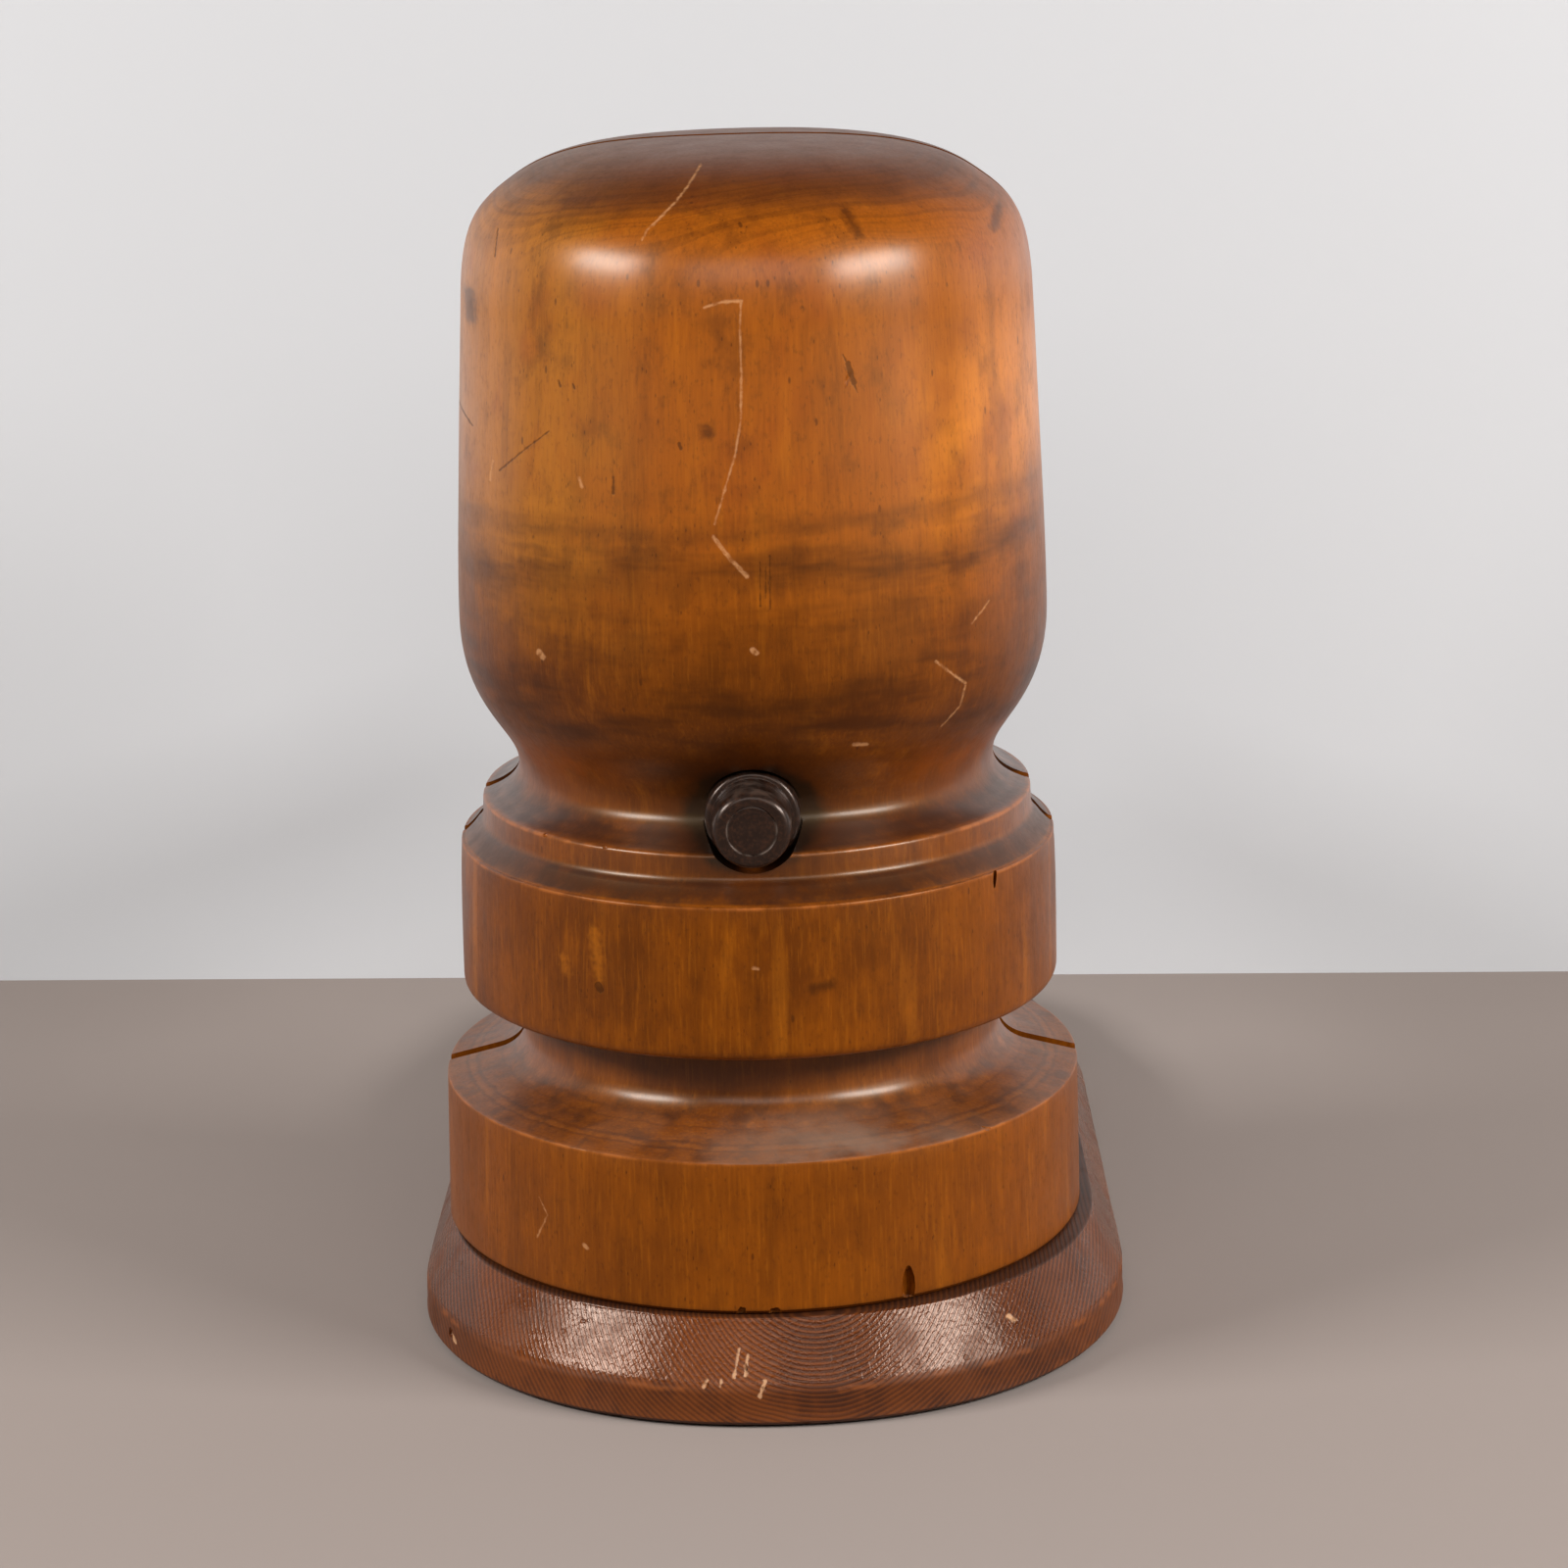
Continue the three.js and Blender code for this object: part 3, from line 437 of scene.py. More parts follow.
class Value:
    """One socket of a material, with Python's operators for the maths on it."""

    def __init__(self, shader: "Shader", socket: bpy.types.NodeSocket) -> None:
        """Keeps the socket and the material that it is in."""
        self.shader = shader
        self.socket = socket

    def maths(self, operation: str, *values: "Number") -> "Value":
        """Adds a Math node.

        Args:
            operation: The node's operation.
            values: All its inputs, in order.

        Returns:
            The node's result.
        """
        return self.shader.node("ShaderNodeMath", {"operation": operation}, dict(enumerate(values)))

    def __add__(self, other: "Number") -> "Value":
        """self + other."""
        return self.maths("ADD", self, other)

    __radd__ = __add__

    def __sub__(self, other: "Number") -> "Value":
        """self - other."""
        return self.maths("SUBTRACT", self, other)

    def __rsub__(self, other: "Number") -> "Value":
        """other - self."""
        return self.maths("SUBTRACT", other, self)

    def __mul__(self, other: "Number") -> "Value":
        """self * other."""
        return self.maths("MULTIPLY", self, other)

    __rmul__ = __mul__

    def __truediv__(self, other: "Number") -> "Value":
        """self / other."""
        return self.maths("DIVIDE", self, other)

    def __pow__(self, other: "Number") -> "Value":
        """self ** other."""
        return self.maths("POWER", self, other)

    def __abs__(self) -> "Value":
        """The value without its sign."""
        return self.maths("ABSOLUTE", self)

    def least(self, other: "Number") -> "Value":
        """The smaller of the two."""
        return self.maths("MINIMUM", self, other)

    def most(self, other: "Number") -> "Value":
        """The larger of the two."""
        return self.maths("MAXIMUM", self, other)

    def clipped(self) -> "Value":
        """The value held between 0 and 1."""
        return self.least(1.0).most(0.0)

    def step(self, low: float, high: float) -> "Value":
        """A soft step.

        Args:
            low: Where the result is 0.
            high: Where the result is 1; it may be the smaller of the two.

        Returns:
            A value between 0 and 1.
        """
        settings = {"interpolation_type": "SMOOTHSTEP"}
        inputs = {"Value": self, "From Min": low, "From Max": high}
        return self.shader.node("ShaderNodeMapRange", settings, inputs)

    def hump(self, centre: float, reach: float) -> "Value":
        """1 at the centre, falling softly to 0 at the reach on both sides.

        Args:
            centre: Where the result is 1.
            reach: How far from it the result is 0.

        Returns:
            A value between 0 and 1.
        """
        return abs(self - centre).step(reach, 0)

    def output(self, name: str) -> "Value":
        """Another output of the same node."""
        return Value(self.shader, self.socket.node.outputs[name])


Number = Union[float, Value]


class Shader:
    """A material under construction, measured in millimetres."""

    def __init__(self, name: str) -> None:
        """Starts an empty material.

        Args:
            name: The material's name.
        """
        self.material = bpy.data.materials.new(name)
        self.material.use_nodes = True
        self.tree = self.material.node_tree
        self.tree.nodes.clear()
        own = self.node("ShaderNodeTexCoord", output="Object")
        self.place = self.vector("SCALE", own, scale=1 / MM)
        self.x = self.node("ShaderNodeSeparateXYZ", {}, {0: self.place})
        self.y = self.x.output("Y")
        self.z = self.x.output("Z")

    def node(
        self, kind: str, settings: Mapping[str, Any] = {}, inputs: Mapping[Union[int, str], Any] = {},
        output: Union[int, str] = 0,
    ) -> Value:
        """Adds a node of any type.

        Args:
            kind: The node's type.
            settings: Its settings, which are made first.
            inputs: Values or links of its sockets, by name or number.
            output: The socket that is wanted.

        Returns:
            That socket.
        """
        added = self.tree.nodes.new(kind)
        for key, setting in settings.items():
            setattr(added, key, setting)
        for key, value in inputs.items():
            if isinstance(value, Value):
                self.tree.links.new(value.socket, added.inputs[key])
            else:
                added.inputs[key].default_value = value
        return Value(self, added.outputs[output])

    def vector(self, operation: str, *values: Any, scale: float = 1.0) -> Value:
        """Adds a Vector Math node.

        Args:
            operation: The node's operation.
            values: Its vectors.
            scale: The number of a SCALE node.

        Returns:
            Its vector, or its number for DOT_PRODUCT and LENGTH.
        """
        inputs: dict[Union[int, str], Any] = dict(enumerate(values))
        if operation == "SCALE":
            inputs["Scale"] = scale
        wanted = "Value" if operation in ("DOT_PRODUCT", "LENGTH") else "Vector"
        return self.node("ShaderNodeVectorMath", {"operation": operation}, inputs, wanted)

    def spot(self, x: Number, y: Number, z: Number) -> Value:
        """A vector from three numbers."""
        return self.node("ShaderNodeCombineXYZ", {}, {0: x, 1: y, 2: z})

    def mix(self, share: Number, first: Any, second: Any) -> Value:
        """Mixes two colours.

        Args:
            share: How much of the second colour there is.
            first: A colour.
            second: A colour.

        Returns:
            The mixed colour.
        """
        return self.node("ShaderNodeMix", {"data_type": "RGBA"}, {0: share, 6: first, 7: second}, 2)

    def cloud(
        self, size: float, stretch: Triple = (1, 1, 1), detail: float = 2.0, rough: float = 0.5,
    ) -> Value:
        """Soft noise.

        Args:
            size: Width of its blots in millimetres.
            stretch: How many times longer the blots are along X, Y and Z.
            detail: Levels of finer noise in it.
            rough: Strength of the finer noise.

        Returns:
            A value about 0.5.
        """
        place = self.scaled(size, stretch)
        inputs = {"Vector": place, "Scale": 1.0, "Detail": detail, "Roughness": rough}
        return self.node("ShaderNodeTexNoise", {}, inputs)

    def scaled(self, size: float, stretch: Triple) -> Value:
        """The place on the mesh, counted in blots of a size and a stretch."""
        return self.vector("MULTIPLY", self.place, tuple(1 / (size * share) for share in stretch))

    def line(self, value: Value, size: float, detail: float = 1.0) -> Value:
        """Noise along one number, such as a height or a radius.

        Args:
            value: The number.
            size: Width of the blots.
            detail: Levels of finer noise in it.

        Returns:
            A value about 0.5.
        """
        inputs = {"W": value / size, "Scale": 1.0, "Detail": detail}
        return self.node("ShaderNodeTexNoise", {"noise_dimensions": "1D"}, inputs)

    def cells(self, size: float, stretch: Triple = (1, 1, 1), feature: str = "F1") -> Value:
        """Distance in a pattern of cells.

        Args:
            size: Width of a cell.
            stretch: How many times longer the cells are along X, Y and Z.
            feature: F1 or DISTANCE_TO_EDGE.

        Returns:
            The distance, in cells.
        """
        inputs = {"Vector": self.scaled(size, stretch), "Scale": 1.0}
        return self.node("ShaderNodeTexVoronoi", {"feature": feature}, inputs, "Distance")

    def strokes(self, lines: Iterable["Stroke"], ragged: float = 0.0) -> Value:
        """How far a place on the front is from the nearest of some strokes.

        Args:
            lines: The strokes.
            ragged: How much their edges waver.

        Returns:
            The distance from their edges in millimetres, negative on them.
        """
        flat = self.spot(self.x, 0.0, self.z)
        nearest: Union[Value, None] = None
        for stroke in lines:
            for (x1, z1), (x2, z2) in zip(stroke.points, stroke.points[1:]):
                run = Vector((x2 - x1, 0, z2 - z1))
                offset = self.vector("SUBTRACT", flat, (x1, 0, z1))
                share = self.vector("DOT_PRODUCT", offset, run / run.length_squared).clipped()
                foot = self.vector("MULTIPLY", self.spot(share, share, share), tuple(run))
                gap = self.vector("LENGTH", self.vector("SUBTRACT", offset, foot)) - stroke.width / 2
                nearest = gap if nearest is None else nearest.least(gap)
        return nearest + (self.cloud(1.6, detail=3) - 0.5) * ragged

    def bump(self, height: Value, strength: float = 1.0) -> Value:
        """A normal from a height in millimetres.

        Args:
            height: The height.
            strength: How much of it counts.

        Returns:
            The normal.
        """
        return self.node("ShaderNodeBump", {}, {"Strength": strength, "Distance": MM, "Height": height})

    def from_upright(self, x: float, y: float) -> Value:
        """How far a place is from an upright line at X and Y."""
        return ((self.x - x) ** 2.0 + (self.y - y) ** 2.0) ** 0.5

    def from_level(self, x: float, z: float) -> Value:
        """How far a place is from a line that runs along Y at X and Z."""
        return ((self.x - x) ** 2.0 + (self.z - z) ** 2.0) ** 0.5

    def upward(self) -> Value:
        """How far the true surface looks up: 1 on level ground, 0 upright, -1 below."""
        normal = self.node("ShaderNodeNewGeometry", output="Normal")
        return self.node("ShaderNodeSeparateXYZ", {}, {0: normal}, "Z")

    def finish(self, **inputs: Any) -> bpy.types.Material:
        """Closes the material with its surface.

        Args:
            inputs: Values or links of the surface's sockets, with _ for a space.

        Returns:
            The material.
        """
        named = {key.replace("_", " "): value for key, value in inputs.items()}
        surface = self.node("ShaderNodeBsdfPrincipled", {}, named)
        self.node_output(surface)
        return self.material

    def node_output(self, surface: Value) -> None:
        """Joins a surface to the material's output."""
        end = self.tree.nodes.new("ShaderNodeOutputMaterial")
        self.tree.links.new(surface.socket, end.inputs["Surface"])


@dataclass(frozen=True)
class Stroke:
    """A scratch, nick or stain on the front, as a line of X and Z places with a width."""

    width: float
    points: tuple[Point, ...]


# Finishes


@dataclass(frozen=True)
class AmberHardwood:
    """Turned hardwood under old amber varnish, handled and waxed for a long time."""

    name: str = "amber_hardwood"
    gold: Colour = srgb(196, 112, 18)
    olive: Colour = srgb(160, 94, 18)
    honey: Colour = srgb(147, 75, 9)
    russet: Colour = srgb(132, 58, 8)
    tan: Colour = srgb(122, 60, 3)
    brown: Colour = srgb(94, 43, 4)
    plum: Colour = srgb(50, 24, 15)
    ember: Colour = srgb(158, 73, 4)
    umber: Colour = srgb(58, 22, 3)
    soot: Colour = srgb(18, 8, 5)
    # Lighter arris colour: worn varnish and a painted highlight.
    worn: Colour = srgb(186, 104, 44)
    bare: Colour = srgb(212, 154, 104)
    dust: Colour = srgb(128, 106, 92)
    sheen: Colour = (1.0, 0.6, 0.2, 1.0)
    pale_scratches: tuple[Stroke, ...] = (
        Stroke(0.25, ((-10.6, 331.7), (-13.9, 327.0), (-16.7, 323.7), (-21.2, 319.6), (-24.4, 316.7),
                      (-25.7, 314.3))),
        Stroke(0.5, ((-9.7, 297.4), (-4.9, 298.8), (0.2, 299.0))),
        Stroke(0.25, ((0.0, 299.0), (-0.4, 293.2), (-0.3, 280.0), (-0.7, 268.0), (-2.4, 259.0),
                      (-5.7, 248.8), (-8.1, 241.1))),
        Stroke(0.8, ((-8.5, 237.8), (-4.2, 232.1), (0.0, 227.4))),
        Stroke(0.4, ((49.8, 200.3), (57.9, 192.4))),
        Stroke(0.2, ((57.9, 191.6), (56.5, 186.0), (51.1, 180.6))),
        Stroke(0.2, ((65.0, 213.7), (59.9, 208.6))),
        Stroke(1.6, ((-56.6, 203.4), (-55.8, 202.4))),
        Stroke(1.2, ((1.2, 207.8), (2.2, 207.0))),
        Stroke(0.6, ((-43.9, 251.6), (-43.4, 249.6))),
        Stroke(0.4, ((-69.1, 252.7), (-69.9, 247.3))),
        Stroke(0.9, ((27.6, 179.4), (31.0, 179.0))),
        Stroke(0.5, ((-0.3, 122.3), (0.9, 122.0))),
        Stroke(0.1, ((-60.7, 53.4), (-58.4, 49.0), (-61.8, 41.6))),
        Stroke(0.8, ((-48.0, 43.2), (-47.4, 42.6))),
    )
    dark_nicks: tuple[Stroke, ...] = (
        Stroke(0.6, ((-34.6, 252.6), (-34.8, 248.4))),
        Stroke(0.5, ((-80.9, 264.5), (-75.3, 260.5))),
        Stroke(0.25, ((-52.1, 263.3), (-57.8, 258.7), (-63.1, 254.0), (-66.8, 250.6))),
        Stroke(0.4, ((-49.0, 277.1), (-48.6, 275.6))),
        Stroke(0.4, ((-45.0, 276.4), (-44.6, 275.2))),
        Stroke(0.8, ((-16.9, 262.0), (-16.5, 260.9))),
        Stroke(0.8, ((-0.1, 318.3), (0.2, 317.8))),
        Stroke(2.0, ((-42.4, 114.8), (-42.0, 113.8))),
        Stroke(1.3, ((27.4, 281.6), (28.2, 279.0), (29.0, 276.6))),
        Stroke(0.3, ((26.2, 284.0), (27.4, 281.0), (29.8, 274.0))),
        Stroke(0.15, ((3.6, 231.0), (3.4, 219.5))),
        Stroke(0.15, ((5.0, 229.5), (4.9, 221.5))),
        Stroke(0.15, ((6.2, 232.5), (6.0, 218.5))),
        Stroke(0.2, ((-66.0, 314.5), (-66.8, 307.5))),
    )
    figure: tuple[Stroke, ...] = (
        Stroke(2.0, ((-43.2, 129.5), (-42.6, 122.0))),
        Stroke(1.2, ((-42.6, 122.0), (-42.2, 116.0))),
        Stroke(1.0, ((-52.0, 121.0), (-51.5, 117.0))),
    )
    stains: tuple[Stroke, ...] = (
        Stroke(2.0, ((69.6, 316.6), (68.0, 313.0))),
        Stroke(3.0, ((-75.6, 296.0), (-75.2, 290.0))),
        Stroke(1.6, ((27.4, 320.2), (31.1, 314.3))),
        Stroke(1.6, ((15.2, 116.0), (20.0, 116.8))),
        Stroke(2.4, ((-9.9, 265.4), (-9.3, 265.0))),
    )

    def material(self) -> bpy.types.Material:
        """Builds the finish.

        Returns:
            The material.
        """
        s = Shader(self.name)
        oval_y = abs(s.y - SAW_GAP / 2) - SAW_GAP / 2
        radius = (s.x * s.x + (oval_y / DEPTH_RATIO) ** 2.0) ** 0.5
        front = s.y.step(-2, -12)
        broad = s.cloud(30, detail=3, rough=0.55)
        blotch = s.cloud(10, (1, 1, 1.3), detail=5, rough=0.62)
        streak = s.cloud(7, (1, 1, 10), detail=3, rough=0.55)
        fibre = s.cloud(0.8, (1, 1, 16), detail=3, rough=0.62)
        speck = s.cloud(1.1, (1, 1, 2), detail=3, rough=0.6)

        colour = self.ground(s, broad, blotch, streak)
        colour = self.growth(s, colour, fibre, blotch, speck)
        colour = self.bands(s, colour, broad, blotch)
        # Grease, darker hollows, and painted shade under the band and just above the foot.
        colour, grime_and_shade = self.grime_and_shade(s, colour, radius, blotch)
        colour = self.edges(s, colour, radius, blotch)
        middle = s.x.hump(28, 62) * s.y.step(-70, -92)
        settled = s.upward().step(0.4, 0.95) * (broad.step(0.36, 0.6) * 0.7 + speck * 0.5)
        dusty = (settled * (0.2 + 0.55 * middle) * s.z.step(90, 70)).clipped()
        colour = s.mix(dusty, colour, self.dust)
        colour, marks = self.marks(s, colour, front)

        rough = 0.42 + 0.2 * (blotch - 0.5) + 0.14 * (speck - 0.5)
        rough = rough + 0.3 * dusty + 0.1 * marks + 0.1 * grime_and_shade * blotch
        moulded = s.z.hump(151, 20).most(s.z.hump(82, 18))
        polish = moulded.most(s.z.hump(303, 20)).most(s.z.hump(266, 56) * 0.9)
        lathe = s.line(s.z + (blotch - 0.5) * 0.4, 0.9, 3.0) * (0.012 + 0.016 * moulded)
        height = lathe + fibre * 0.025 + blotch * 0.07 - marks * 0.1 + speck * 0.03
        return s.finish(
            Base_Color=colour, Roughness=rough.clipped(),
            Coat_Weight=(0.07 + 0.47 * polish - 0.3 * dusty - 0.2 * marks).clipped(),
            Coat_Roughness=0.27, Specular_IOR_Level=0.34, Specular_Tint=self.sheen,
            Normal=s.bump(height, 0.6),
        )

    def ground(self, s: Shader, broad: Value, blotch: Value, streak: Value) -> Value:
        """The colour under all marks: amber on the crown, browner below, with painted light on the
        right flank and painted shade towards both flanks' outlines.

        Args:
            s: The material.
            broad: Slow noise.
            blotch: Mottling.
            streak: Upright streaks.

        Returns:
            The colour.
        """
        sway = (broad - 0.5) * 70 + (blotch - 0.5) * 24
        crown = s.mix((sway - s.x).step(18, 60), self.honey, self.olive)
        # Partly the wood's own golden tone, partly painted light: the right flank, which faces the
        # right lamp, is painted lighter gold at shoulder height.
        crown = s.mix((sway + s.x).step(34, 66) * (s.z + sway * 0.3).hump(262, 52), crown, self.gold)
        crown = s.mix(broad.step(0.5, 0.7) * 0.5, crown, self.russet)
        # Painted shade: both flanks turn darker brown towards the outline below the shoulder, where the
        # surface turns away from the lamps.
        crown = s.mix(abs(s.x).step(66, 84) * s.z.step(262, 232) * 0.6, crown, self.brown)
        patch = s.cloud(3.2, (1, 1, 2.5), detail=4, rough=0.7)
        leather = broad + (blotch - 0.5) * 0.5 + (patch - 0.5) * 0.55
        low = s.mix(leather.step(0.24, 0.72), self.brown, self.tan)
        low = s.mix(s.z.step(84, 70) * 0.3, low, self.honey)
        colour = s.mix((s.z + sway * 0.4).step(190, 240), low, crown)
        colour = s.mix(streak.step(0.48, 0.74) * 0.26, colour, self.umber)
        return s.mix(streak.step(0.44, 0.26) * 0.2, colour, self.gold)

    def growth(self, s: Shader, colour: Value, fibre: Value, blotch: Value, speck: Value) -> Value:
        """Growth rings round an upright heart, fibres and pores.

        Args:
            s: The material.
            colour: The colour so far.
            fibre: Fine upright noise.
            blotch: Mottling.
            speck: Fine noise.

        Returns:
            The colour.
        """
        wander = s.cloud(70, (1, 1, 4), detail=2) * 14
        ring = s.line(s.from_upright(*HEART) + wander, 1.9, 3.0)
        dome = s.z.step(304, 318)
        colour = s.mix(ring.step(0.46, 0.66) * (0.08 + 0.2 * dome), colour, self.umber)
        colour = s.mix(blotch.step(0.5, 0.72) * (0.2 + 0.16 * s.z.step(180, 210)), colour, self.umber)
        colour = s.mix(fibre.step(0.5, 0.7) * 0.18, colour, self.umber)
        colour = s.mix(fibre.step(0.48, 0.32) * 0.12, colour, self.gold)
        colour = s.mix(speck.step(0.54, 0.7) * 0.26, colour, self.umber)
        pores = s.cells(1.5, (1, 1, 2.6)).step(0.2, 0.08) * blotch.step(0.46, 0.6)
        nicks = s.cells(6.5, (1, 1, 2.4)).step(0.09, 0.05) * blotch.step(0.42, 0.5)
        return s.mix(pores.most(nicks) * 0.6, colour, self.umber)

    def bands(self, s: Shader, colour: Value, broad: Value, blotch: Value) -> Value:
        """Dark wavy bands round the crown, its darkened foot and its dark olive dome.

        Args:
            s: The material.
            colour: The colour so far.
            broad: Slow noise.
            blotch: Mottling.

        Returns:
            The colour.
        """
        ripple = s.cloud(7.5, (5, 5, 1), detail=3, rough=0.6)
        level = s.z - 0.05 * s.x + (broad - 0.5) * 12 + (blotch - 0.5) * 7
        zone = s.z.hump(228, 30)
        dark = ripple.step(0.42, 0.74) * zone * 0.5
        dark = dark + level.hump(239, 5) * 0.3 + level.hump(227, 9) * 0.34
        foot = (s.z + (blotch - 0.5) * 40).hump(186, 40) * (0.36 + 0.58 * ripple.step(0.38, 0.7))
        dome = (s.z + (ripple - 0.5) * 18 + (broad - 0.5) * 10).step(314, 329) * 0.74
        colour = s.mix((dark * s.y.step(0, -40)).clipped(), colour, self.umber)
        return s.mix(foot.most(dome).clipped(), colour, self.umber)

    def grime_and_shade(self, s: Shader, colour: Value, radius: Value, blotch: Value) -> tuple[Value, Value]:
        """Brushed dust on the flange, darker groove, coves and corners, black grease round the screw's
        ends, and painted shade under the band and just above the body's foot.

        Args:
            s: The material.
            colour: The colour so far.
            radius: Half width of the body at this place, measured across.
            blotch: Mottling.

        Returns:
            The colour and how much grease, hollow darkening and painted shade there is.
        """
        ring = ((s.x / 1.4) ** 2.0 + (s.z - SCREW_Z - 1) ** 2.0) ** 0.5 + (blotch - 0.5) * 7
        deep = abs(s.y).step(50, 70)
        close = ring.step(15.5, 12) * deep * 0.9
        near = ring.step(28, 13) * deep * 0.72

        brushed = s.line(radius + s.z * 0.7 + blotch * 3, 1.5, 3.0)
        smudge = s.cloud(9, detail=4, rough=0.65).step(0.46, 0.64)
        flat = s.upward().step(0.2, 0.7) * s.z.step(180, 160)
        colour = s.mix(brushed.step(0.5, 0.7) * flat * 0.4, colour, self.umber)
        colour = s.mix(brushed.step(0.44, 0.28) * flat * 0.08, colour, self.gold)
        colour = s.mix(smudge * flat * 0.5, colour, self.plum)

        slope = s.z.step(138.7, 139.3) * s.z.step(145.4, 143.2)
        shelf = s.z.step(151.4, 152.2) * s.z.step(160, 154)
        film = (slope.most(shelf) * (0.3 + 0.6 * blotch.step(0.3, 0.62))).clipped()
        colour = s.mix(film, colour, self.plum)
        glow = s.z.hump(168, 13) * ring.step(20, 40) * blotch.step(0.2, 0.7)
        colour = s.mix(glow * 0.4, colour, self.ember)

        groove = s.z.hump(91, 10) * radius.step(74, 69)
        cove = (s.z.hump(161, 10) * radius.step(75, 69)).most(groove)
        # Painted shadow under the band's lower edge; the moulding's corners are darker too.
        shadow_below_band = s.z.hump(97, 2.4) * radius.step(80, 74)
        corners_and_band_shadow = s.z.hump(152.2, 1.0).most(shadow_below_band).most(s.z.hump(141.2, 2.6))
        # Painted shade: darker just above the body's foot, where it sits on the board, and under the
        # band; the groove, coves and corners are darker too.
        hollows_and_shade = (cove * 0.28 + corners_and_band_shadow * 0.6 + s.z.step(30.5, 28) * 0.8) * (0.55 + 0.7 * blotch)
        colour = s.mix(hollows_and_shade.most(near).clipped(), colour, self.umber)
        colour = s.mix(close.clipped(), colour, self.soot)
        return colour, (hollows_and_shade + close).clipped()

    def edges(self, s: Shader, colour: Value, radius: Value, blotch: Value) -> Value:
        """Varnish rubbed thin on the arrises, painted lighter, which also paints their highlight.

        Args:
            s: The material.
            colour: The colour so far.
            radius: Half width of the body at this place, measured across.
            blotch: Mottling.

        Returns:
            The colour.
        """
        flange = s.z.hump(69.9, 0.8) * radius.step(89.9, 90.7)
        band = s.z.hump(138.2, 0.8) * radius.step(83.5, 84.3)
        ledge = s.z.hump(150.8, 0.9) * radius.step(76.8, 77.6)
        arris = flange.most(band).most(ledge)
        # The lighter arris lines are partly worn varnish and partly a painted highlight.
        return s.mix((arris * (0.2 + 0.6 * blotch.step(0.42, 0.6)) * 0.6).clipped(), colour, self.worn)

    def marks(self, s: Shader, colour: Value, front: Value) -> tuple[Value, Value]:
        """Scratches, nicks and stains on the front.

        Args:
            s: The material.
            colour: The colour so far.
            front: 1 on the front half.

        Returns:
            The colour and where the surface is marked.
        """
        fade = s.cloud(2.2, detail=3, rough=0.65).step(0.3, 0.6)
        figure = s.strokes(self.figure, 4.0).step(1.8, -1.4) * front
        colour = s.mix(figure * 0.34, colour, self.gold)
        stain = s.strokes(self.stains, 2.6).step(1.6, -0.8) * front
        colour = s.mix(stain * 0.7, colour, self.umber)
        pale = s.strokes(self.pale_scratches, 0.9).step(0.4, -0.2) * front * (0.2 + 0.8 * fade)
        colour = s.mix(pale * 0.5, colour, self.bare)
        dark = s.strokes(self.dark_nicks, 0.9).step(0.3, -0.15) * front
        colour = s.mix(dark * 0.72, colour, self.umber)
        return colour, (pale + dark).clipped()


@dataclass(frozen=True)
class SawnHardwood:
    """The same hardwood where it was sawn or bored and never varnished."""

    name: str = "sawn_hardwood"
    pale: Colour = srgb(186, 124, 74)
    warm: Colour = srgb(146, 84, 42)
    dark: Colour = srgb(84, 44, 22)

    def material(self) -> bpy.types.Material:
        """Builds the finish.

        Returns:
            The material.
        """
        s = Shader(self.name)
        ring = s.line(s.from_upright(*HEART) + s.cloud(60, (1, 1, 3)) * 16, 2.2, 2.0)
        fibre = s.cloud(0.8, (1, 1, 20), detail=3)
        saw = s.line(s.z + s.x * 0.06 + s.cloud(30) * 5, 1.5, 2.0)
        blotch = s.cloud(14, detail=3)
        colour = s.mix(ring.step(0.42, 0.7) * 0.55, self.pale, self.warm)
        colour = s.mix(fibre.step(0.5, 0.72) * 0.45, colour, self.dark)
        colour = s.mix(blotch.step(0.52, 0.8) * 0.6, colour, self.dark)
        height = saw * 0.12 + fibre * 0.06
        rough = 0.7 + 0.15 * (blotch - 0.5)
        return s.finish(
            Base_Color=colour, Roughness=rough, Specular_IOR_Level=0.3, Normal=s.bump(height, 0.8),
        )


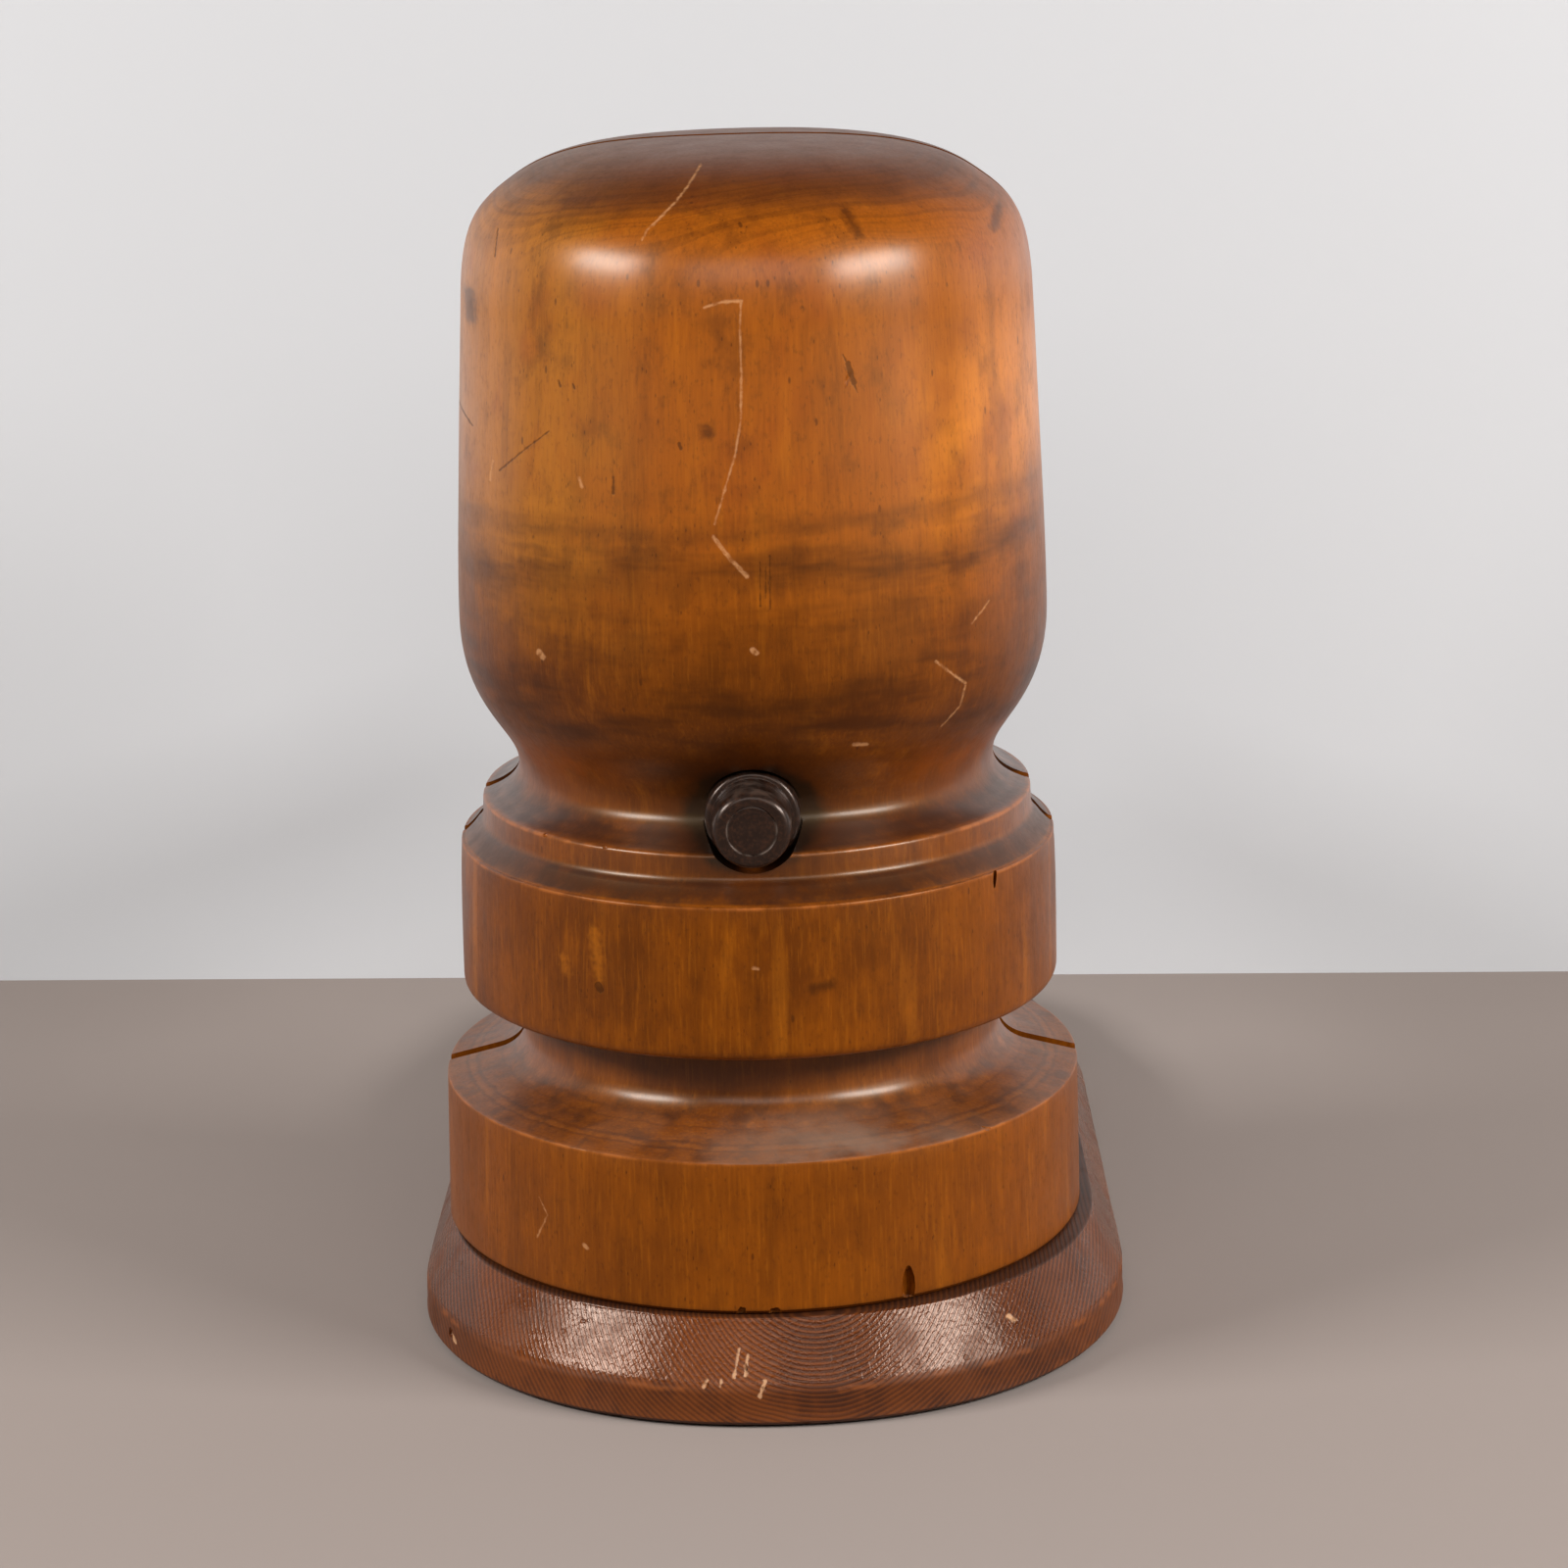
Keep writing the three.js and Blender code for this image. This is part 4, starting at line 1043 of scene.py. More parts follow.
@dataclass(frozen=True)
class VarnishedPine:
    """The board: fine-ringed softwood under dark varnish that has crackled on the bevel."""

    name: str = "varnished_pine"
    red: Colour = srgb(105, 50, 11)
    brown: Colour = srgb(81, 36, 8)
    dark: Colour = srgb(42, 17, 8)
    orange: Colour = srgb(146, 76, 24)
    bare: Colour = srgb(196, 148, 108)
    # Near black, for the painted shade on the board's top face and undercut foot.
    grime_and_shade: Colour = srgb(16, 8, 5)
    sheen: Colour = (1.0, 0.76, 0.62, 1.0)
    heart: Point = (16.0, 44.0)
    ring_width: float = 1.3
    chips: tuple[Stroke, ...] = (
        Stroke(0.6, ((-6.0, 20.4), (-7.6, 14.0))),
        Stroke(0.7, ((-3.8, 19.0), (-4.6, 14.3))),
        Stroke(0.7, ((-14.6, 13.2), (-15.7, 11.4))),
        Stroke(0.6, ((-11.0, 13.0), (-11.3, 11.6))),
        Stroke(0.9, ((0.8, 12.9), (-0.8, 9.2))),
        Stroke(0.8, ((69.0, 18.3), (66.9, 19.9))),
        Stroke(1.1, ((-87.6, 6.6), (-87.0, 5.6))),
    )

    def material(self) -> bpy.types.Material:
        """Builds the finish.

        Returns:
            The material.
        """
        s = Shader(self.name)
        blotch = s.cloud(13, (1, 1.6, 1), detail=4, rough=0.6)
        broad = s.cloud(45, (1, 2, 1), detail=2)
        bend = s.cloud(50, (1, 5, 1), detail=2) * 7 + s.cloud(9, (1, 8, 1)) * 0.8
        ring_radius = s.from_level(*self.heart) + bend
        ring = (ring_radius.maths("SINE", ring_radius * (math.tau / self.ring_width)) + 1) / 2
        late = ring.step(0.35, 0.95)
        fibre = s.cloud(0.5, (1, 26, 1), detail=3)
        colour = s.mix(broad.step(0.4, 0.62), self.red, self.brown)
        colour = s.mix(blotch.step(0.48, 0.74) * 0.5, colour, self.dark)
        colour = s.mix(late * 0.42, colour, self.dark)
        colour = s.mix((1 - ring).step(0.55, 1.0) * 0.3, colour, self.orange)
        colour = s.mix(fibre.step(0.5, 0.7) * 0.25, colour, self.dark)

        side = s.z.step(12.5, 10.5)
        worn = side * blotch.step(0.6, 0.44) * 0.16
        colour = s.mix(worn, colour, self.orange)
        colour = s.mix(side * 0.22, colour, self.dark)
        arris = (s.z + (blotch - 0.5) * 4).hump(10.8, 1.3) * s.cloud(8, detail=4).step(0.46, 0.62)
        colour = s.mix((arris * 0.45).clipped(), colour, self.orange)
        # Painted shade: the whole top face is painted near black for the shade in the narrow reveal
        # under the body's flange, and the undercut foot for the shadow under the board's edge.
        top = s.z.step(27.4, 27.9)
        foot = s.z.step(2.6, 0.4) * 0.75
        colour = s.mix((top * 0.6).most(foot), colour, self.grime_and_shade)

        front = s.y.step(-2, -12)
        chip = s.strokes(self.chips, 1.4).step(0.3, -0.3) * front
        colour = s.mix(chip * 0.85, colour, self.bare)
        crackle = s.cells(2.1, feature="DISTANCE_TO_EDGE")
        peel = s.cloud(1.7, detail=3, rough=0.6)
        pit = (s.cells(5.2) + (peel - 0.5) * 0.3).step(0.2, 0.1) * blotch.step(0.45, 0.6)
        bevel = s.z.step(11, 13) * s.z.step(27.9, 27.4)
        varnish = peel * 0.08 + crackle.step(0.0, 0.16) * 0.03 - pit * 0.12 + s.cloud(7) * 0.12
        height = varnish * bevel + peel * 0.02 + late * 0.03 - chip * 0.15
        rubbed = s.cloud(15, detail=3).step(0.48, 0.7)
        rough = 0.24 + 0.26 * side + rubbed * (0.2 - 0.12 * top) + 0.3 * chip + 0.1 * pit + 0.26 * top
        return s.finish(
            Base_Color=colour, Roughness=rough.clipped(), Specular_IOR_Level=0.42,
            Specular_Tint=self.sheen, Normal=s.bump(height, 1.0),
        )


@dataclass(frozen=True)
class DarkTurnery:
    """Nearly black turned wood, polished by hands."""

    name: str
    axis: Axis
    black: Colour = srgb(24, 12, 7)
    worn: Colour = srgb(64, 38, 24)
    dust: Colour = srgb(112, 98, 88)
    sheen: Colour = (1.0, 0.72, 0.58, 1.0)
    bar_y: float = 204.4
    scribed_radius: float = 6.6

    def material(self) -> bpy.types.Material:
        """Builds the finish.

        Returns:
            The material.
        """
        s = Shader(self.name)
        along_y = self.axis is Axis.Y
        side, along = (s.x, s.y) if along_y else (s.y - self.bar_y, s.x)
        radius = (side * side + (s.z - SCREW_Z) ** 2.0) ** 0.5
        stretch = (1, 18, 1) if along_y else (18, 1, 1)
        grain = s.cloud(0.9, stretch, detail=3)
        blotch = s.cloud(6, detail=4, rough=0.6)
        lathe = s.line(along + radius * 0.4, 0.5, 2.0)
        rings = s.line(radius, 0.45, 2.0)
        colour = s.mix(grain.step(0.45, 0.7) * 0.4, self.black, self.worn)
        colour = s.mix(blotch.step(0.55, 0.75) * 0.55, colour, self.worn)
        colour = s.mix(lathe.step(0.6, 0.8) * 0.25, colour, self.worn)
        if along_y:
            scribed = radius.hump(self.scribed_radius, 0.5) * blotch.step(0.4, 0.62)
            colour = s.mix(scribed * 0.6, colour, self.dust)
        settled = s.upward().step(0.6, 1.0) * blotch.step(0.45, 0.65) * 0.2
        colour = s.mix(settled, colour, self.dust)
        rough = 0.34 + 0.25 * (blotch - 0.5) + 0.3 * settled
        height = lathe * 0.03 + rings * 0.04 + grain * 0.02 + blotch * 0.03
        return s.finish(
            Base_Color=colour, Roughness=rough.clipped(), Coat_Weight=(0.17 - 0.4 * settled).clipped(),
            Coat_Roughness=0.16, Specular_IOR_Level=0.35, Specular_Tint=self.sheen,
            Normal=s.bump(height, 0.6),
        )


@dataclass(frozen=True)
class BareHardwood:
    """Pale hardwood with wax on it, for the runner and the dowels."""

    name: str = "bare_hardwood"
    pale: Colour = srgb(198, 152, 98)
    warm: Colour = srgb(158, 108, 62)
    dark: Colour = srgb(98, 66, 38)
    heart: Point = (-30.0, 120.0)

    def material(self) -> bpy.types.Material:
        """Builds the finish.

        Returns:
            The material.
        """
        s = Shader(self.name)
        bend = s.cloud(40, (1, 6, 1)) * 6
        ring = s.line(s.from_level(*self.heart) + bend, 1.6, 2.0)
        fibre = s.cloud(0.6, (1, 24, 1), detail=3)
        pores = s.cells(1.4, (1, 4, 1)).step(0.18, 0.08)
        blotch = s.cloud(12, (1, 2, 1), detail=4)
        colour = s.mix(ring.step(0.4, 0.7) * 0.6, self.pale, self.warm)
        colour = s.mix(fibre.step(0.48, 0.7) * 0.4, colour, self.warm)
        colour = s.mix((pores * 0.5).most(blotch.step(0.56, 0.8) * 0.6), colour, self.dark)
        rough = 0.48 + 0.3 * (blotch - 0.5) + 0.1 * fibre
        height = fibre * 0.03 - pores * 0.05 + blotch * 0.04
        return s.finish(Base_Color=colour, Roughness=rough, Normal=s.bump(height, 0.8))


@dataclass(frozen=True)
class DullSteel:
    """Old steel of screws and pin, with some rust."""

    name: str = "dull_steel"
    steel: Colour = srgb(150, 145, 140)
    grey: Colour = srgb(96, 92, 88)
    rust: Colour = srgb(104, 58, 34)

    def material(self) -> bpy.types.Material:
        """Builds the finish.

        Returns:
            The material.
        """
        s = Shader(self.name)
        speck = s.cloud(0.7, detail=4, rough=0.65)
        patch = s.cloud(2.6, detail=3)
        brushed = s.cloud(0.15, (1, 1, 14), detail=2)
        colour = s.mix(brushed.step(0.4, 0.65), self.steel, self.grey)
        rust = (patch + (speck - 0.5) * 0.6).step(0.5, 0.64) * 0.9
        colour = s.mix(rust, colour, self.rust)
        rough = 0.36 + 0.4 * rust + 0.16 * (speck - 0.5)
        height = brushed * 0.01 + rust * speck * 0.06
        return s.finish(
            Base_Color=colour, Roughness=rough.clipped(), Metallic=(1 - rust).clipped(),
            Normal=s.bump(height, 0.8),
        )


class Palette:
    """All materials of the object, built once."""

    def __init__(self) -> None:
        """Builds the materials."""
        self.amber = AmberHardwood().material()
        self.sawn = SawnHardwood().material()
        self.pine = VarnishedPine().material()
        self.spindle = DarkTurnery("dark_turnery_screw", Axis.Y).material()
        self.handle = DarkTurnery("dark_turnery_bar", Axis.X).material()
        self.bare = BareHardwood().material()
        self.steel = DullSteel().material()


# Sub-assemblies


@dataclass
class SubAssembly:
    """What all groups of pieces share."""

    palette: Palette

    def place(
        self, mesh: bmesh.types.BMesh, name: str, node: str, body: str, slot: str,
        *materials: bpy.types.Material, crease: float = 32.0,
    ) -> bpy.types.Object:
        """Turns a finished mesh into a piece that stands for a node of the frame.

        Args:
            mesh: The mesh in millimetres, which is freed.
            name: The piece's name.
            node: The node that it stands for.
            body: The body that it rides on.
            slot: The record's material slot; not used.
            materials: Its materials; the first one shows on all its faces.
            crease: Edges sharper than this many degrees stay sharp.

        Returns:
            The piece.
        """
        bmesh.ops.scale(mesh, vec=(MM, MM, MM), verts=mesh.verts)
        item = mesh_object(mesh, name)
        item.data.materials.clear()  # this also puts every face in the first place
        for material in materials:
            item.data.materials.append(material)
        item.data.polygons.foreach_set("use_smooth", [True] * len(item.data.polygons))
        item.data.set_sharp_from_angle(angle=math.radians(crease))
        item.data.update()
        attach(item, body)
        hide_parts(node)
        LOG.info("%s: %d faces, rides on %s", name, len(item.data.polygons), body)
        return item


@dataclass
class ThreadForm:
    """The wooden thread, shared by the screw and the tapped hole."""

    pitch: float = 8.0
    radius: float = 16.0
    depth: float = 2.8
    phase: float = -6.0
    play: float = 0.5

    def coil(self, widen: float, first_turn: int, turns: int, part: Part) -> bmesh.types.BMesh:
        """The thread's ridge as a closed solid.

        Args:
            widen: How much larger every radius is.
            first_turn: Number of the turn that it starts with.
            turns: How many turns there are.
            part: Material place of its faces.

        Returns:
            The ridge.
        """
        outer = self.radius + widen
        inner = outer - self.depth
        flat = self.pitch / 2 - self.depth
        rise, fall = flat + self.depth, 2 * flat + self.depth
        soft = 0.25
        outline = [
            (inner - 1.6, flat), (inner, flat), (outer - soft, rise - soft), (outer, rise + soft),
            (outer, fall - soft), (outer - soft, fall + soft),
            (inner, self.pitch), (inner - 1.6, self.pitch),
        ]
        start = self.phase + first_turn * self.pitch
        return coil(outline, self.pitch, start, turns, Axis.Y, Vector((0, 0, SCREW_Z)), 64, part)


@dataclass
class Fastener:
    """Sizes of a slotted wood screw, its head at 0 and its point along the axis."""

    length: float
    shank: float
    head: float
    sink: float = 0.3
    slot: float = 1.1
    taper: float = 2.5
    gap: float = 0.3

    def hole(self, overrun: float = 5.0) -> bmesh.types.BMesh:
        """The hole that takes the screw.

        Args:
            overrun: How far the hole stands out of the surface.

        Returns:
            The cutting solid, head at Z 0 and point upwards.
        """
        head, shank = self.head + self.gap, self.shank + self.gap
        outline = [
            (0, -overrun), (head, -overrun), (head, self.sink),
            (shank, self.sink + self.head - self.shank),
            (shank, self.length - self.taper * self.shank + self.gap), (0, self.length + self.gap),
        ]
        return turned(outline, Axis.Z, steps=40, part=Part.RAW)

    def screw(self) -> bmesh.types.BMesh:
        """The screw with its slot and its thread.

        Returns:
            The solid, head at Z 0 and point upwards.
        """
        core = self.shank * 0.76
        neck = self.sink + self.head - self.shank
        thread_from = self.length * 0.34
        tip = self.length - self.taper * self.shank
        body = turned(eased([
            (0, self.sink), (self.head, self.sink), (self.head, self.sink + 0.25),
            (self.shank, neck + 0.25), (self.shank, thread_from), (core, thread_from + 0.8),
            (core, tip), (0, self.length),
        ], 0.2), Axis.Z, steps=40)
        pitch = self.shank * 0.9
        ridge = [(core - 0.5, -0.36 * pitch), (core, -0.26 * pitch), (self.shank, 0),
                 (core, 0.12 * pitch), (core - 0.5, 0.2 * pitch)]
        turns = int((tip - thread_from - 2) / pitch)
        thread = coil(ridge, pitch, thread_from + 1.4, turns, Axis.Z, Vector((0, 0, 0)), 28)
        half = self.slot / 2
        slot = box(Vector((-self.head, -half, -5)), Vector((self.head, half, self.sink + self.slot)))
        return carve(body, (Join.ADD, thread), (Join.CUT, slot))


BOARD_SCREW = Fastener(length=52, shank=2.6, head=5.2)
RUNNER_SCREW = Fastener(length=27, shank=2.1, head=4.2)
BOARD_SCREW_PLACES: tuple[Point, ...] = ((-52, -26), (52, -26), (-30, -76), (30, -76))
RUNNER_SCREW_PLACES: tuple[float, ...] = (26, 76, 126)


def board_screw_holes() -> list[bmesh.types.BMesh]:
    """The holes of the screws that hold the front half on the board."""
    return [moved(BOARD_SCREW.hole(), Vector((x, y, 0))) for x, y in BOARD_SCREW_PLACES]


def runner_screw_holes() -> list[bmesh.types.BMesh]:
    """The holes of the screws that hold the runner on the board, from above."""
    return [moved(RUNNER_SCREW.hole(), Vector((0, y, RUNNER_TOP)), upside_down=True)
            for y in RUNNER_SCREW_PLACES]


def moved(mesh: bmesh.types.BMesh, place: Vector, upside_down: bool = False) -> bmesh.types.BMesh:
    """Puts a mesh somewhere else.

    Args:
        mesh: The mesh.
        place: Where its origin goes.
        upside_down: Whether it is turned over first.

    Returns:
        The same mesh.
    """
    if upside_down:
        turn = Matrix.Rotation(math.pi, 3, "X")
        bmesh.ops.rotate(mesh, cent=(0, 0, 0), matrix=turn, verts=mesh.verts)
    bmesh.ops.translate(mesh, vec=place, verts=mesh.verts)
    return mesh


@dataclass
class TurnedBody(SubAssembly):
    """The oval body, sawn into a fixed front half and a sliding rear half."""

    thread: ThreadForm = field(default_factory=ThreadForm)
    base: float = 28.3
    flange: float = 92.0
    flange_top: float = 70.4
    groove: float = 68.5
    band: float = 85.8
    band_bottom: float = 96.0
    band_top: float = 138.8
    ledge: float = 78.6
    ledge_top: float = 151.6
    waist: float = 68.0
    waist_z: float = 160.3
    crown: float = 83.65
    crown_z: float = 203.0
    shoulder: float = 80.3
    shoulder_z: float = 292.0
    cap: float = 64.0
    cap_z: float = 326.1
    top: float = 336.0
    knob_recess: float = 13.6
    journal_bore: float = 10.4
    collar_bore: float = 18.4
    tail_bore: float = 18.5
    dowel_seat: float = 8.3
    dowel_slip: float = 8.4
    steps: int = 120

    def outline(self) -> list[Point]:
        """The turned profile from the foot to the top of the crown.

        Returns:
            Half widths and heights.
        """
        side = self.flange - 0.6
        edge = (side - 0.9, self.flange_top)
        foot = (self.groove + 8.5, self.flange_top + 3.4)
        slope = (foot[1] - edge[1]) / (foot[0] - edge[0])
        hollow = (self.groove, foot[1] + slope * (self.groove - foot[0]))
        lip = (self.ledge - 1.6, self.ledge_top)
        cove = (self.waist + 7.5, self.ledge_top + 0.6)
        rise = (cove[1] - lip[1]) / (cove[0] - lip[0])
        drawn = self.band - 0.7
        flange = [
            (0, self.base), (30, self.base), (60, self.base), (self.flange - 0.9, self.base),
            (self.flange, self.base + 0.9),
            *[(self.flange - 0.6 * t / 8, self.base + 0.9 + (self.flange_top - self.base - 1.8) * t / 8)
              for t in range(1, 9)],
            *bezier((side - 0.05, self.flange_top - 0.7), (side, self.flange_top), edge, steps=4),
            ((edge[0] + foot[0]) / 2, (edge[1] + foot[1]) / 2), foot,
        ]
        band = [
            *bezier((self.groove, self.band_bottom - 4), (self.groove, self.band_bottom),
                    (self.groove + 4, self.band_bottom), steps=6),
            *bezier((self.band - 3.5, self.band_bottom), (self.band, self.band_bottom),
                    (self.band, self.band_bottom + 3.5), steps=8),
            *bezier((self.band, self.band_bottom + 3.5), (self.band, self.band_top - 14.27),
                    (drawn, self.band_top - 1), steps=14),
            *bezier((drawn, self.band_top - 0.7), (drawn, self.band_top),
                    (drawn - 0.8, self.band_top), steps=4),
        ]
        fillet = (self.ledge + 1.4, self.band_top + 4.5)
        ledge = [
            *bezier((drawn - 1, self.band_top), (drawn - 3.4, self.band_top + 2.1), fillet, steps=9),
            *bezier(fillet, (self.ledge + 0.1, self.band_top + 5.3),
                    (self.ledge + 0.1, self.band_top + 7.2), steps=5),
            *bezier((self.ledge, self.ledge_top - 1.3), (self.ledge, self.ledge_top), lip, steps=4),
        ]
        crown = [
            *bezier((self.waist, self.waist_z), (self.waist, self.waist_z + 11.53),
                    (self.crown, self.crown_z - 26.47), (self.crown, self.crown_z), steps=22),
            *bezier((self.crown, self.crown_z), (self.crown, self.crown_z + 19.58),
                    (self.shoulder + 0.9, self.shoulder_z - 19.58), (self.shoulder, self.shoulder_z),
                    steps=30),
            *bezier((self.shoulder, self.shoulder_z), (self.shoulder - 0.6, self.shoulder_z + 23.2),
                    (self.cap + 10.2, self.cap_z - 7.1), (self.cap, self.cap_z), steps=24),
            *bezier((self.cap, self.cap_z), (self.cap - 12.0, self.cap_z + 8.1), (35.5, self.top),
                    (0, self.top), steps=22),
        ]
        neck = bezier(foot, hollow, (self.groove, self.flange_top + 13.6), steps=12)
        pull = (self.waist, cove[1] + rise * (self.waist - cove[0]))
        waist = bezier(cove, pull, (self.waist, self.waist_z), steps=12)
        return profile(flange, neck, band, ledge, waist, crown)

    def half(self, side: int) -> bmesh.types.BMesh:
        """One half of the oval body before it is bored.

        Args:
            side: -1 for the front half, 1 for the rear half.

        Returns:
            The closed solid, its sawn face at Y 0.
        """
        mesh = bmesh.new()
        geometry = chain(mesh, [Axis.Z.place(*point) for point in self.outline()])
        bmesh.ops.spin(
            mesh, geom=geometry, cent=(0, 0, 0), axis=(0, 0, 1), dvec=(0, 0, 0),
            angle=side * math.pi, steps=self.steps, use_merge=False, use_duplicate=False,
        )
        tidy(mesh)
        bmesh.ops.scale(mesh, vec=(1, DEPTH_RATIO, 1), verts=mesh.verts)
        wear(mesh, 0.35, 38, keep=lambda v: v.co.z < self.base + 0.5)
        for vert in mesh.verts:
            if abs(vert.co.y) < 0.3:
                vert.co.y = 0
        rim = [edge for edge in mesh.edges if edge.is_boundary]
        cut = bmesh.ops.contextual_create(mesh, geom=rim)["faces"][0]
        cut.material_index = Part.RAW.value
        bmesh.ops.recalc_face_normals(mesh, faces=mesh.faces)
        arris = [edge for edge in cut.edges if min(v.co.z for v in edge.verts) > self.base + 1]
        bmesh.ops.bevel(
            mesh, geom=arris, offset=0.3, segments=2, profile=0.5, affect="EDGES", material=-1,
            clamp_overlap=True,
        )
        return mesh

    def front(self) -> bpy.types.Object:
        """The front half, fixed to the board, with the knob's recess in its waist.

        Returns:
            The piece.
        """
        axis = Vector((0, 0, SCREW_Z))
        tools = [rod(self.knob_recess, -115, KNOB_SEAT, axis), rod(self.journal_bore, -85, 5, axis)]
        tools.append(rod(self.collar_bore, -12.3, 5, axis))
        tools += [
            rod(self.dowel_seat, -40.3, 5, Vector((x, 0, z)), steps=48) for x, z in DOWELS.values()
        ]
        tools += board_screw_holes() + self.chips()
        mesh = carve(self.half(-1), *[(Join.CUT, tool) for tool in tools])
        return self.place(mesh, "front_half", "front_block", "stand", "body_wood",
                          self.palette.amber, self.palette.sawn)

    def chips(self) -> list[bmesh.types.BMesh]:
        """Chips and nicks that old use has left in the front half.

        Returns:
            The cutting pebbles.
        """
        wounds = [
            (39.8, -99.6, 32.4, 1.9, 3.6, 5.0, 0), (-5.3, -109.8, 28.8, 1.3, 1.3, 1.7, 8),
            (3.7, -109.8, 28.6, 1.7, 1.2, 1.5, 0), (62.5, -79.8, 70.4, 2.2, 1.3, 0.9, 10),
            (28.1, -92.2, 279.0, 1.1, 1.5, 3.9, 24), (65.6, -64.8, 137.2, 0.5, 2.2, 3.2, 4),
            (-40.4, -81.3, 151.2, 1.0, 1.2, 0.6, 0), (-12.2, -101.0, 138.6, 1.1, 1.2, 0.8, 0),
            (-57.4, -64.2, 151.0, 1.2, 1.2, 0.6, 0), (-34.7, -90.3, 251.0, 0.45, 0.9, 2.1, 2),
        ]
        return dents(wounds, 0.0, 3.7)

    def rear(self) -> bpy.types.Object:
        """The rear half, tapped for the screw, bored for the dowels and grooved for the runner.

        Returns:
            The piece.
        """
        axis = Vector((0, 0, SCREW_Z))
        play = self.thread.play
        root = self.thread.radius - self.thread.depth + play
        tapped = self.thread.coil(play, 0, 13, Part.RAW)
        tools = [rod(root, 0, 130, axis), tapped, rod(self.tail_bore, 81.6, 130, axis)]
        tools += [
            rod(self.dowel_slip, 1, 69.5, Vector((x, 0, z)), steps=48) for x, z in DOWELS.values()
        ]
        tools.append(dovetail(10.4, 15.4, RUNNER_FOOT, RUNNER_TOP + 0.4, 0, 130, below=6))
        mesh = moved(self.half(1), Vector((0, SAW_GAP, 0)))
        mesh = carve(mesh, *[(Join.CUT, tool) for tool in tools])
        return self.place(mesh, "rear_half", "rear_block", "rear", "body_wood",
                          self.palette.amber, self.palette.sawn)


def dovetail(
    foot: float, head: float, low: float, high: float, start: float, end: float, below: float = 0.0,
) -> bmesh.types.BMesh:
    """A dovetailed bar along Y, wider at its top.

    Args:
        foot: Half its width at the bottom.
        head: Half its width at the top.
        low: Height of its bottom.
        high: Height of its top.
        start: Where it starts along Y.
        end: Where it ends along Y.
        below: How far a straight neck hangs under its foot.

    Returns:
        The closed mesh, its faces raw.
    """
    mesh = bmesh.new()
    outline = [(-foot, low), (-head, high), (head, high), (foot, low)]
    if below:
        outline = [(-foot, low - below), *outline, (foot, low - below)]
    ring = chain(mesh, [Vector((x, start, z)) for x, z in outline], closed=True)
    face = bmesh.ops.contextual_create(mesh, geom=ring)["faces"]
    new = bmesh.ops.extrude_face_region(mesh, geom=face)["geom"]
    far = [item for item in new if isinstance(item, bmesh.types.BMVert)]
    bmesh.ops.translate(mesh, vec=(0, end - start, 0), verts=far)
    return tidy(mesh, Part.RAW)


